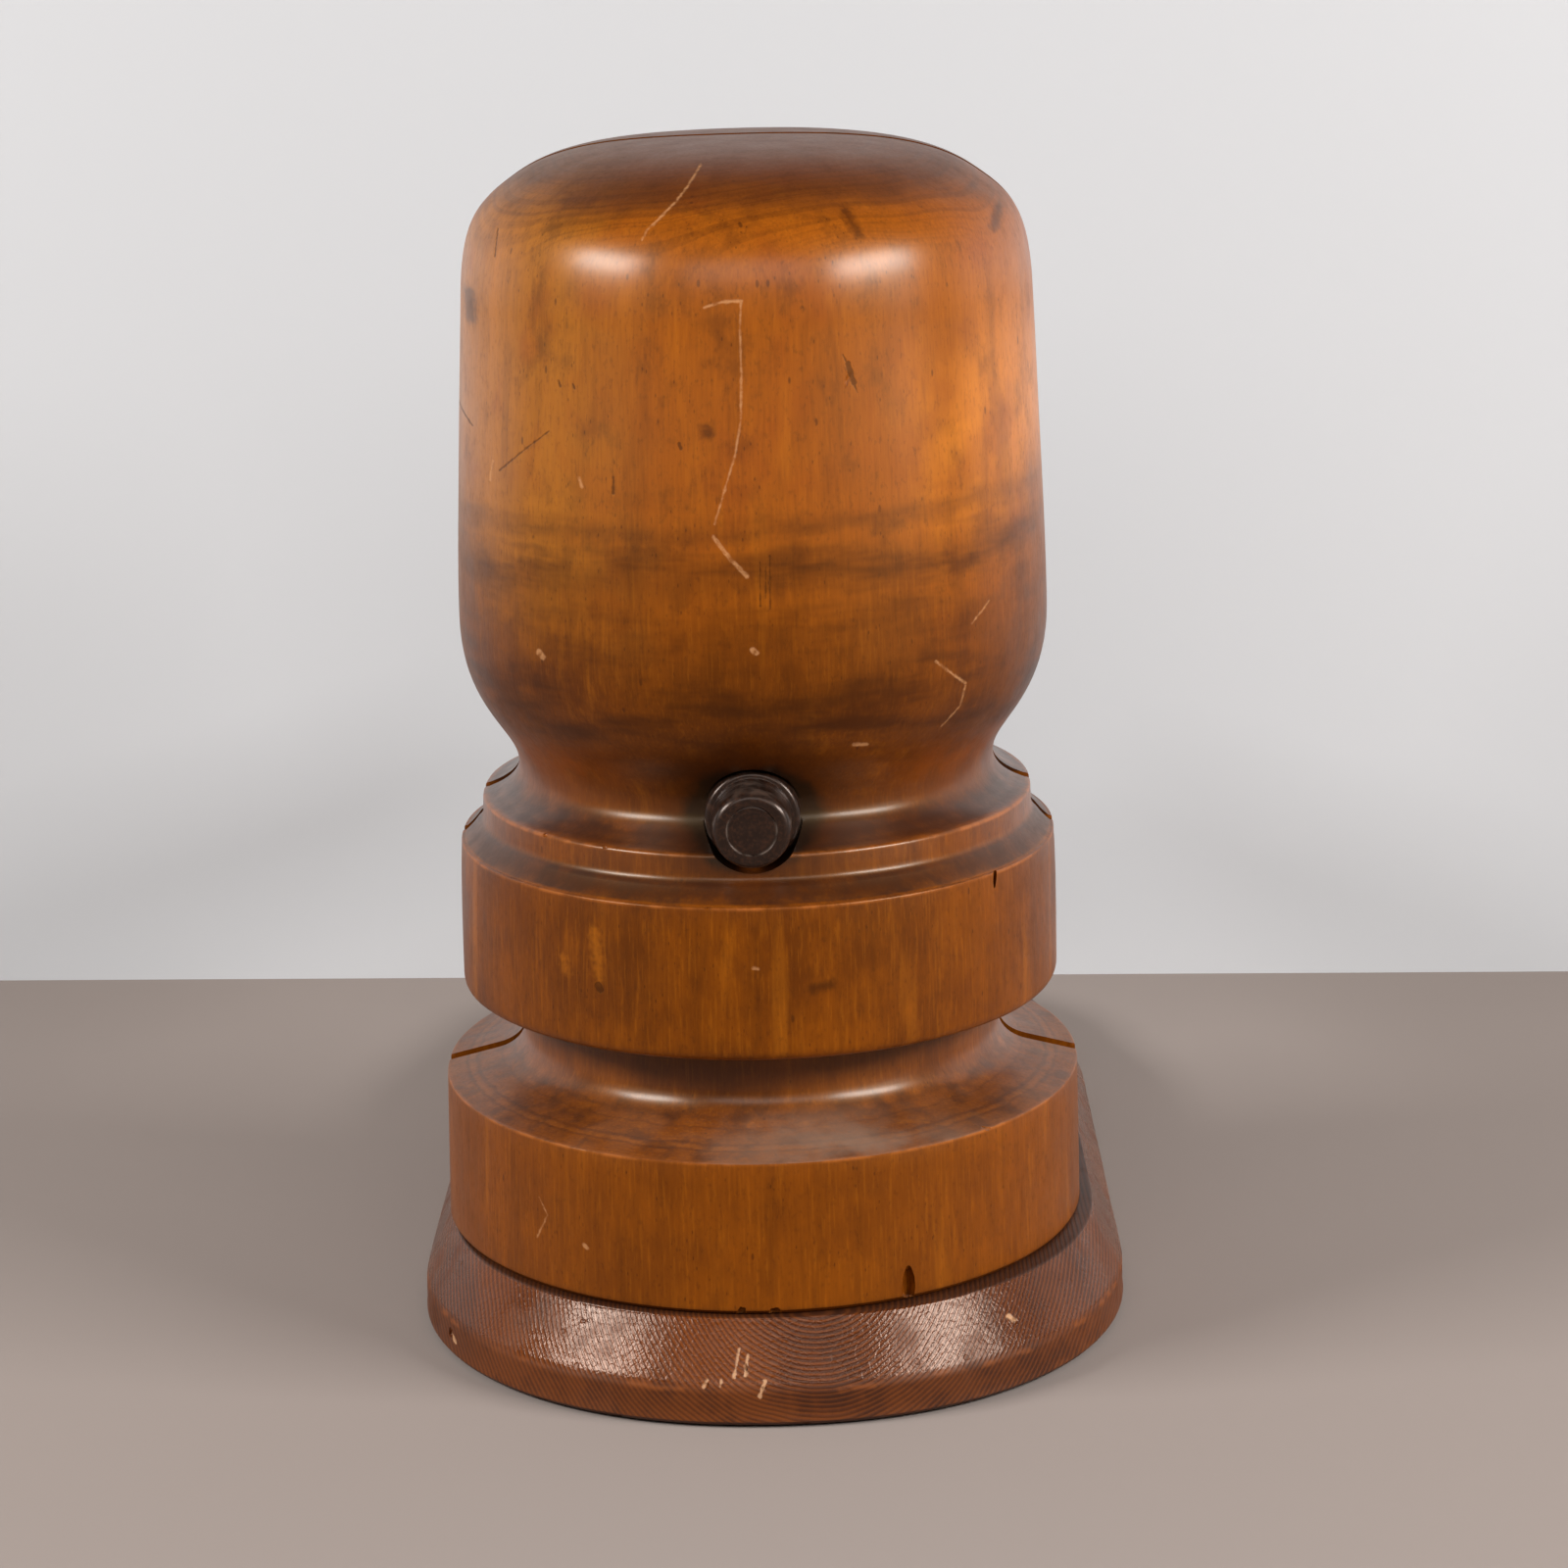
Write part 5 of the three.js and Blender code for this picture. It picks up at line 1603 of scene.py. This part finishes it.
@dataclass
class BenchBoard(SubAssembly):
    """The long board: round front, straight sides, a taper and a round tail, with a bevel all round."""

    half: float = 101.8
    depth: float = 121.9
    fullness: float = 2.15
    set_over: float = 2.4
    taper_y: float = 190.0
    tail_y: float = 241.0
    tail_radius: float = 94.0
    thickness: float = 28.0
    square_edge: float = 11.0
    inset_side: float = 8.8
    inset_front: float = 10.5
    inset_tail: float = 15.0
    foot_ease: float = 1.9
    undercut: float = 6.0

    def plan(self, side: float, front: float, tail: float) -> list[Point]:
        """The board's outline, drawn in.

        Args:
            side: Inset at the sides.
            front: Inset at the front.
            tail: Inset at the tail.

        Returns:
            X and Y places round the board.
        """
        half, depth, radius = self.half - side, self.depth - front, self.tail_radius - tail
        drop = self.tail_y - self.taper_y
        tangent = math.acos(radius / math.hypot(half, drop)) - math.atan2(drop, half)

        def pull(value: float) -> float:
            """A sine or cosine made fuller."""
            return math.copysign(abs(value) ** (2 / self.fullness), value)

        front_steps, side_steps, tail_steps = 120, 12, 48
        nose = [
            (half * pull(math.cos(math.pi * (1 + i / front_steps))),
             depth * pull(math.sin(math.pi * (1 + i / front_steps))))
            for i in range(front_steps + 1)
        ]
        end = (radius * math.cos(tangent), self.tail_y + radius * math.sin(tangent))
        reach = 10.0
        way = (Vector(end) - Vector((half, self.taper_y))).normalized() * reach
        right = [(half, self.taper_y * i / side_steps) for i in range(1, side_steps)]
        corner = bezier((half, self.taper_y - reach), (half, self.taper_y),
                        (half + way.x, self.taper_y + way.y), steps=6)
        last = corner[-1]
        taper = [
            (last[0] + (end[0] - last[0]) * i / 6, last[1] + (end[1] - last[1]) * i / 6)
            for i in range(1, 6)
        ]
        flank = [p for p in right if p[1] < self.taper_y - reach - 1] + corner + taper
        arc = [
            (radius * math.cos(tangent + (math.pi - 2 * tangent) * i / tail_steps),
             self.tail_y + radius * math.sin(tangent + (math.pi - 2 * tangent) * i / tail_steps))
            for i in range(tail_steps + 1)
        ]
        back = [(-x, y) for x, y in reversed(flank)]
        return [(x + self.set_over, y) for x, y in nose + flank + arc + back]

    def stations(self) -> list[tuple[float, float, float]]:
        """Levels of the board's section.

        Returns:
            Height, share of the bevel's inset, and a plain inset, from the foot up.
        """
        ease = self.foot_ease
        hollow = bezier((self.undercut, 0), (ease * 0.4, 0), (0, ease), steps=4)
        foot = [(z, 0.0, inset) for inset, z in hollow]
        bevel = self.thickness - self.square_edge
        edge = [(self.square_edge - 1.6, 0.0, 0.0)]
        share_in, share_out = 0.11, 0.93
        arris = bezier((0, self.square_edge - 1.5), (0, self.square_edge),
                       (share_in, self.square_edge + share_in * bevel), steps=5)
        shares = [share_in + (share_out - share_in) * i / 9 for i in range(1, 9)]
        slope = [(share, self.square_edge + bevel * share) for share in shares]
        rim = bezier((share_out, self.square_edge + share_out * bevel), (1.0, self.thickness),
                     (1.07, self.thickness), steps=4)
        upright = [(ease + (self.square_edge - 2 - ease) * i / 4, 0.0, 0.0) for i in range(1, 4)]
        return foot + upright + edge + [(z, share, 0.0) for share, z in arris + slope + rim]

    def build(self) -> bpy.types.Object:
        """The board with its screw holes and chipped edges.

        Returns:
            The piece.
        """
        mesh = bmesh.new()
        insets = (self.inset_side, self.inset_front, self.inset_tail)
        rings = [
            [Vector((x, y, z)) for x, y in self.plan(*[full * share + inset for full in insets])]
            for z, share, inset in self.stations()
        ]
        ring = chain(mesh, rings[0], closed=True)
        bottom = [item for item in ring if isinstance(item, bmesh.types.BMEdge)]
        bmesh.ops.contextual_create(mesh, geom=bottom)
        edges = bottom
        for places in rings[1:]:
            new = bmesh.ops.extrude_edge_only(mesh, edges=edges)["geom"]
            verts = [item for item in new if isinstance(item, bmesh.types.BMVert)]
            edges = [item for item in new if isinstance(item, bmesh.types.BMEdge) and item.is_boundary]
            self.settle(verts, edges, places)
        bmesh.ops.contextual_create(mesh, geom=edges)
        tidy(mesh)
        wear(mesh, 0.4, 26, keep=lambda v: v.co.z < 3 or v.co.z > self.thickness - 0.3)
        tools = board_screw_holes() + runner_screw_holes() + self.chips()
        mesh = carve(mesh, *[(Join.CUT, tool) for tool in tools])
        return self.place(mesh, "bench_board", "base_board", "stand", "board_wood",
                          self.palette.pine, self.palette.sawn, crease=40)

    def settle(self, verts: list[Any], edges: list[Any], places: list[Vector]) -> None:
        """Moves a newly drawn ring to its places, in order round the ring.

        Args:
            verts: The ring's vertices.
            edges: The ring's edges.
            places: Where they go.
        """
        joined: dict[Any, list[Any]] = {vert: [] for vert in verts}
        for edge in edges:
            a, b = edge.verts
            joined[a].append(b)
            joined[b].append(a)
        first = min(verts, key=lambda v: (v.co.xy - places[0].xy).length)
        second = min(joined[first], key=lambda v: (v.co.xy - places[1].xy).length)
        walk = [first, second]
        while len(walk) < len(verts):
            walk.append(next(v for v in joined[walk[-1]] if v is not walk[-2]))
        for vert, place in zip(walk, places):
            vert.co = place

    def chips(self) -> list[bmesh.types.BMesh]:
        """Chips along the board's edges.

        Returns:
            The cutting pebbles.
        """
        wounds = [
            (-88.6, -59.8, 6.8, 1.3, 2.0, 1.7, 0), (-4.3, -118.2, 16.6, 0.5, 0.7, 2.2, -10),
            (-15.2, -120.2, 12.2, 1.4, 1.0, 1.0, 30), (0.2, -121.8, 11.4, 1.2, 1.0, 1.6, 10),
            (69.4, -89.9, 18.6, 1.2, 0.8, 1.5, 30), (12.0, -121.6, 0.6, 3.0, 1.2, 1.0, 0),
            (-40.0, -113.0, 0.5, 2.4, 1.5, 1.1, 0), (103.9, 40.0, 10.6, 0.9, 3.0, 1.2, 0),
            (-99.2, 96.0, 10.7, 0.9, 2.4, 1.1, 0), (58.0, 317.2, 9.0, 2.0, 1.5, 2.2, 0),
        ]
        return dents(wounds, 40.0, 2.9)


@dataclass
class Fixings(SubAssembly):
    """The runner under the rear half, the dowels in the crown and all wood screws."""

    start: float = 2.0
    end: float = 150.0
    dowel_radius: float = 8.0

    def runner(self) -> bpy.types.Object:
        """The dovetailed runner, its edges eased and its screw holes sunk.

        Returns:
            The piece.
        """
        mesh = dovetail(10, 15, RUNNER_FOOT, RUNNER_TOP, self.start, self.end)
        bmesh.ops.bevel(
            mesh, geom=mesh.edges[:], offset=0.5, segments=3, profile=0.5, affect="EDGES", material=-1,
        )
        long_edges = [e for e in mesh.edges if abs(e.verts[0].co.y - e.verts[1].co.y) > 100]
        bmesh.ops.subdivide_edges(mesh, edges=long_edges, cuts=30, use_grid_fill=True)
        wear(mesh, 0.12, 17)
        mesh = carve(mesh, *[(Join.CUT, tool) for tool in runner_screw_holes()])
        return self.place(mesh, "dovetail_runner", "slide_runner", "stand", "runner_wood",
                          self.palette.bare, self.palette.bare)

    def dowels(self) -> None:
        """Both guide dowels."""
        radius = self.dowel_radius
        outline = profile(
            (0, -40), bezier((radius - 1.5, -40), (radius, -40), (radius, -38.5), steps=4),
            [(radius, -38.5 + 97.5 * i / 20) for i in range(1, 20)],
            bezier((radius, 59), (radius, 62), (radius - 1.5, 62), steps=6), (0, 62),
        )
        for name, (x, z) in DOWELS.items():
            mesh = turned(outline, Axis.Y, Vector((x, 0, z)), 56)
            wear(mesh, 0.12, 9)
            self.place(mesh, f"dowel_{name}", f"guide_dowel_{name}", "stand", "runner_wood",
                       self.palette.bare)

    def screws(self) -> None:
        """All wood screws."""
        for i, (x, y) in enumerate(BOARD_SCREW_PLACES, 1):
            mesh = moved(BOARD_SCREW.screw(), Vector((x, y, 0)))
            self.place(mesh, f"board_wood_screw_{i}", f"block_screw_{i}", "stand", "screw_steel",
                       self.palette.steel, self.palette.steel)
        for i, y in enumerate(RUNNER_SCREW_PLACES, 1):
            mesh = moved(RUNNER_SCREW.screw(), Vector((0, y, RUNNER_TOP)), upside_down=True)
            self.place(mesh, f"runner_wood_screw_{i}", f"runner_screw_{i}", "stand", "screw_steel",
                       self.palette.steel, self.palette.steel)


@dataclass
class WoodenScrew(SubAssembly):
    """The spindle with its thread, the knob in the waist, the turned head and its pin."""

    thread: ThreadForm = field(default_factory=ThreadForm)
    head_y: float = 172.38
    thread_start: float = 2.0
    thread_end: float = 114.6
    pin_y: float = 181.38

    @property
    def axis(self) -> Vector:
        """A point on the screw's axis."""
        return Vector((0, 0, SCREW_Z))

    def pin_hole(self) -> bmesh.types.BMesh:
        """The hole for the head's pin."""
        return rod(2.3, SCREW_Z - 30, SCREW_Z + 30, Vector((0, self.pin_y, 0)), Axis.Z, 32)

    def spindle(self) -> bpy.types.Object:
        """The screw, turned in one piece with its collar and its tenons.

        Returns:
            The piece.
        """
        root = self.thread.radius - self.thread.depth
        shank, tail = root - 0.6, self.head_y - 0.3
        outline = eased([
            (0, -93.4), (5.5, -93.4), (5.5, KNOB_SEAT), (10, KNOB_SEAT), (10, -12),
            (17, -12), (18, -11), (18, -3), (17, -2), (shank, -2),
            (shank, 1.6), (root, 2.2), (root, 114.4), (shank, 115.0), (shank, tail),
            (9, tail), (9, tail + 17), (8, tail + 18), (0, tail + 18),
        ], 0.4)
        core = turned(outline, Axis.Y, self.axis)
        crest = self.thread.radius
        limits = turned([
            (0, self.thread_start), (root, self.thread_start), (crest, self.thread_start + 3),
            (crest, self.thread_end - 3), (root, self.thread_end), (0, self.thread_end),
        ], Axis.Y, self.axis, 128)
        ridge = self.thread.coil(-0.02, 0, 16, Part.FINISHED)
        ridge = carve(ridge, (Join.KEEP, limits))
        mesh = carve(core, (Join.ADD, ridge), (Join.CUT, self.pin_hole()))
        return self.place(mesh, "screw_shaft", "screw_spindle", "screw", "dark_wood",
                          self.palette.spindle, self.palette.spindle)

    def knob(self) -> bpy.types.Object:
        """The knob in the waist, with its scribed face and its flange.

        Returns:
            The piece.
        """
        rear = KNOB_SEAT - 0.3
        face = rear - 22.5
        front = rear - 6.5
        edge = (11.2, front)
        outline = profile(
            (0, face + 0.45), (2.2, face + 0.36), (3.4, face + 0.3),
            (6.2, face + 0.3), (6.5, face + 0.42), (6.8, face), (7.2, face), (7.7, face),
            bezier((8.0, face), (10.4, face + 0.1), (10.6, face + 3.0), steps=10),
            [(10.6, face + 3.0 + 1.4 * i) for i in range(1, 6)],
            (10.6, front - 4.4), (10.35, front - 4.1), (10.6, front - 3.8),
            bezier((10.6, front - 2.6), (10.6, front), edge, steps=6),
            bezier(edge, (12.9, front), (12.9, front + 2.2), steps=8),
            (12.9, rear - 2.4), (12.65, rear - 2.1), (12.9, rear - 1.8), (12.9, rear - 0.4),
            (12.5, rear),
            (5.8, rear), (5.8, rear - 13), (0, rear - 13),
        )
        mesh = turned(outline, Axis.Y, self.axis, 96)
        wear(mesh, 0.1, 4.5, keep=lambda v: v.co.y > rear - 0.5)
        return self.place(mesh, "waist_knob", "front_knob", "screw", "dark_wood", self.palette.spindle)

    def head(self) -> bpy.types.Object:
        """The turned head that takes the handle's bar.

        Returns:
            The piece.
        """
        y = self.head_y
        end = y + 54
        cap = end - 10
        shoulder = y + 8
        outline = profile(
            (0, y + 18), (9.3, y + 18), (9.3, y), (15.6, y),
            bezier((16, y), (17, y), (17, y + 1), steps=4),
            (17, y + 2.2), (16.7, y + 2.5), (17, y + 2.8), (17, y + 4.6),
            bezier((17, y + 4.8), (15.4, y + 5.4), (15.5, y + 6.5), steps=5),
            bezier((15.5, y + 6.6), (15.6, y + 7.6), (17, shoulder), steps=5),
            bezier((17, shoulder), (22, shoulder + 3), (22, shoulder + 12), steps=14),
            (22, y + 24), (21.7, y + 24.3), (22, y + 24.6), (22, y + 32),
            (22, cap - 2.6), (21.7, cap - 2.3), (22, cap - 2.0), (22, cap - 1.4),
            (20.9, cap - 0.2), (20.8, cap + 0.2),
            bezier((20.8, cap + 1.2), (20.8, end - 1.2), (12, end - 0.6), steps=14),
            bezier((12, end - 0.6), (7, end - 0.1), (0, end), steps=8),
        )
        mesh = turned(outline, Axis.Y, self.axis, 96)

        def hidden(vert: bmesh.types.BMVert) -> bool:
            """Whether a vertex is on the near end face or in the socket."""
            return vert.co.y < y + 0.3 or math.hypot(vert.co.x, vert.co.z - SCREW_Z) < 11

        wear(mesh, 0.12, 9, keep=hidden)
        across = Vector((0, y + 32, SCREW_Z))
        mouth = [(0, -30), (8.4, -30), (8.4, -21.6), (6.4, -20.2),
                 (6.4, 20.2), (8.4, 21.6), (8.4, 30), (0, 30)]
        bar_hole = turned(mouth, Axis.X, across, 64, Part.RAW)
        mesh = carve(mesh, (Join.CUT, bar_hole), (Join.CUT, self.pin_hole()))
        return self.place(mesh, "handle_head", "screw_head", "screw", "dark_wood",
                          self.palette.spindle, self.palette.spindle)

    def pin(self) -> bpy.types.Object:
        """The steel pin through the head.

        Returns:
            The piece.
        """
        outline = eased([
            (0, -16.5), (1.8, -16.5), (2, -16.2), (2, 0), (2, 16.2), (1.8, 16.5), (0, 16.5),
        ], 0.15)
        mesh = turned(outline, Axis.Z, Vector((0, self.pin_y, SCREW_Z)), 32)
        return self.place(mesh, "steel_pin", "head_pin", "screw", "screw_steel", self.palette.steel)


@dataclass
class HandleBar(SubAssembly):
    """The loose bar through the head and the knobs that keep it in."""

    y: float = 204.38
    radius: float = 6.0
    half: float = 62.0

    def bar(self) -> bpy.types.Object:
        """The bar with a tenon at each end.

        Returns:
            The piece.
        """
        stations = [-self.half + 2 * self.half * i / 24 for i in range(1, 24)]
        outline = profile(
            (0, -70), (3.2, -70), (3.6, -69.6), (3.6, -self.half),
            (self.radius - 0.4, -self.half), (self.radius, -self.half + 0.4),
            [(self.radius, x) for x in stations],
            (self.radius, self.half - 0.4), (self.radius - 0.4, self.half),
            (3.6, self.half), (3.6, 69.6), (3.2, 70), (0, 70),
        )
        mesh = turned(outline, Axis.X, Vector((0, self.y, SCREW_Z)), 56)
        wear(mesh, 0.15, 12, keep=lambda v: abs(v.co.x) > self.half - 1)
        return self.place(mesh, "bar_rod", "tommy_bar", "handle_bar", "dark_wood", self.palette.handle)

    def knobs(self) -> None:
        """Both end knobs of the bar."""
        inner = self.half + 0.3
        for name, side in (("left", -1), ("right", 1)):
            outline = profile(
                (0, inner + 8), (3.9, inner + 8), (3.9, inner), (6.6, inner), (7, inner + 0.4),
                bezier((7, inner + 1), (10.5, inner + 1), (10.5, inner + 7), steps=10),
                (10.5, inner + 7), (10.25, inner + 7.3), (10.5, inner + 7.6),
                bezier((10.5, inner + 7.7), (10.5, inner + 15), (0, inner + 15), steps=16),
            )
            outline = [(radius, side * along) for radius, along in outline]
            mesh = turned(outline, Axis.X, Vector((0, self.y, SCREW_Z)), 56)
            wear(mesh, 0.12, 6, keep=lambda v: abs(v.co.x) < inner + 0.3)
            self.place(mesh, f"bar_end_{name}", f"bar_knob_{name}", "handle_bar", "dark_wood",
                       self.palette.handle)


# Studio


@dataclass(frozen=True)
class Softbox:
    """A soft light that looks at the middle of the object."""

    name: str
    azimuth: float  # degrees to the right of the front
    elevation: float  # degrees up
    power: float  # watts
    size: Point  # width and height in metres
    distance: float = 1.6
    aim_height: float = 0.16

    def build(self) -> None:
        """Hangs the light in the studio."""
        a, e = math.radians(self.azimuth), math.radians(self.elevation)
        towards = Vector((math.sin(a) * math.cos(e), -math.cos(a) * math.cos(e), math.sin(e)))
        data = bpy.data.lights.new(self.name, "AREA")
        data.shape = "RECTANGLE"
        data.size, data.size_y = self.size
        data.energy = self.power
        item = bpy.data.objects.new(self.name, data)
        item.location = Vector((0, 0, self.aim_height)) + towards * self.distance
        item.rotation_euler = towards.to_track_quat("Z", "Y").to_euler()
        bpy.context.scene.collection.objects.link(item)


@dataclass
class Studio:
    """Camera, soft lights, a plain pale floor and a pale wall."""

    focal: float = 101.25
    sensor: float = 36.0
    near_clip: float = 0.05
    distance: float = 1.240
    height: float = 0.414
    pitch: float = 12.0
    pan: float = 0.36
    roll: float = -1.12
    yaw: float = -0.9
    floor_colour: Colour = srgb(152, 140, 133)
    backdrop_colour: Colour = srgb(222, 220, 221)
    pool_edge: Point = (1900.0, 3400.0)
    wall_colour: Colour = srgb(200, 200, 201)
    wall_top: Colour = srgb(96, 96, 97)
    wall_shade: Point = (400.0, 850.0)
    wall_y: float = 0.362
    wall_turn: float = -2.6
    wall_half: Point = (4.0, 1.6)
    floor_half: float = 60.0
    ambient: float = 0.1
    softboxes: tuple[Softbox, ...] = (
        Softbox("right_softbox", 61, 25, 26.5, (0.9, 0.34)),
        Softbox("left_softbox", -66, 29, 23, (0.75, 0.34)),
        Softbox("front_fill", 2, 29, 7, (1.6, 0.45)),
        Softbox("low_right_fill", 72, 9, 1.3, (0.45, 0.5)),
    )

    def camera(self) -> None:
        """The camera at the photograph's angle."""
        yaw = Matrix.Rotation(math.radians(self.yaw), 3, "Z")
        pan = Matrix.Rotation(math.radians(self.pan), 3, "Z")
        right, forward, up = Matrix.Rotation(math.radians(self.pitch), 3, "X") @ pan @ yaw
        roll = math.radians(self.roll)
        across = right * math.cos(roll) + up * math.sin(roll)
        upright = up * math.cos(roll) - right * math.sin(roll)
        data = bpy.data.cameras.new("camera")
        data.lens = self.focal
        data.sensor_width = self.sensor
        data.sensor_fit = "HORIZONTAL"
        data.clip_start = self.near_clip
        item = bpy.data.objects.new("camera", data)
        item.matrix_world = Matrix((across, upright, -forward)).transposed().to_4x4()
        item.location = yaw.transposed() @ Vector((0, -self.distance, self.height))
        bpy.context.scene.collection.objects.link(item)
        bpy.context.scene.camera = item

    def world(self) -> None:
        """A plain grey surrounding."""
        world = bpy.data.worlds.new("surrounding")
        world.use_nodes = True
        sky = world.node_tree.nodes["Background"]
        sky.inputs["Color"].default_value = (self.ambient, self.ambient, self.ambient, 1)
        bpy.context.scene.world = world

    def floor(self) -> None:
        """The plain floor, which shows pale all the way to the horizon, where no lamp reaches."""
        mesh = bmesh.new()
        bmesh.ops.create_grid(mesh, x_segments=1, y_segments=1, size=self.floor_half)
        s = Shader("floor_paint")
        near = s.node("ShaderNodeBsdfDiffuse", {}, {"Color": self.floor_colour})
        far = s.node("ShaderNodeEmission", {}, {"Color": self.backdrop_colour})
        away = ((s.x ** 2.0 + s.y ** 2.0) ** 0.5).step(*self.pool_edge)
        camera = s.node("ShaderNodeLightPath", output="Is Camera Ray")
        seen = camera.most(camera.output("Is Glossy Ray")).most(camera.output("Is Transmission Ray"))
        s.node_output(s.node("ShaderNodeMixShader", {}, {0: away * seen, 1: near, 2: far}))
        item = mesh_object(mesh, "floor", s.material)

    def wall(self) -> None:
        """The pale wall behind the object, clear from its back, so that it hides no other view."""
        mesh = bmesh.new()
        bmesh.ops.create_grid(mesh, x_segments=1, y_segments=1, size=1)
        bmesh.ops.scale(mesh, vec=(*self.wall_half, 1), verts=mesh.verts)
        raised = Matrix.Rotation(math.pi / 2, 3, "X")
        turned_a_little = Matrix.Rotation(math.radians(self.wall_turn), 3, "Z")
        for turn in (raised, turned_a_little):
            bmesh.ops.rotate(mesh, cent=(0, 0, 0), matrix=turn, verts=mesh.verts)
        bmesh.ops.translate(mesh, vec=(0, self.wall_y, self.wall_half[1]), verts=mesh.verts)
        s = Shader("wall_paint")
        shade = s.mix(s.z.step(*self.wall_shade), self.wall_colour, self.wall_top)
        paint = s.node("ShaderNodeBsdfDiffuse", {}, {"Color": shade})
        clear = s.node("ShaderNodeBsdfTransparent")
        behind = s.node("ShaderNodeNewGeometry", output="Backfacing")
        s.node_output(s.node("ShaderNodeMixShader", {}, {0: behind, 1: paint, 2: clear}))
        item = mesh_object(mesh, "wall", s.material)

    def build(self) -> None:
        """Sets up the whole studio."""
        self.camera()
        self.world()
        for softbox in self.softboxes:
            softbox.build()
        self.floor()
        self.wall()
        bpy.context.scene.view_settings.view_transform = "Standard"


def main() -> None:
    """Builds the studio and every piece, in order."""
    logging.basicConfig(level=logging.INFO, format="%(message)s")
    Studio().build()
    palette = Palette()
    body = TurnedBody(palette)
    body.front()
    body.rear()
    BenchBoard(palette).build()
    fixings = Fixings(palette)
    fixings.runner()
    fixings.dowels()
    fixings.screws()
    screw = WoodenScrew(palette)
    screw.spindle()
    screw.knob()
    screw.head()
    screw.pin()
    handle = HandleBar(palette)
    handle.bar()
    handle.knobs()


if __name__ == "__main__":
    main()
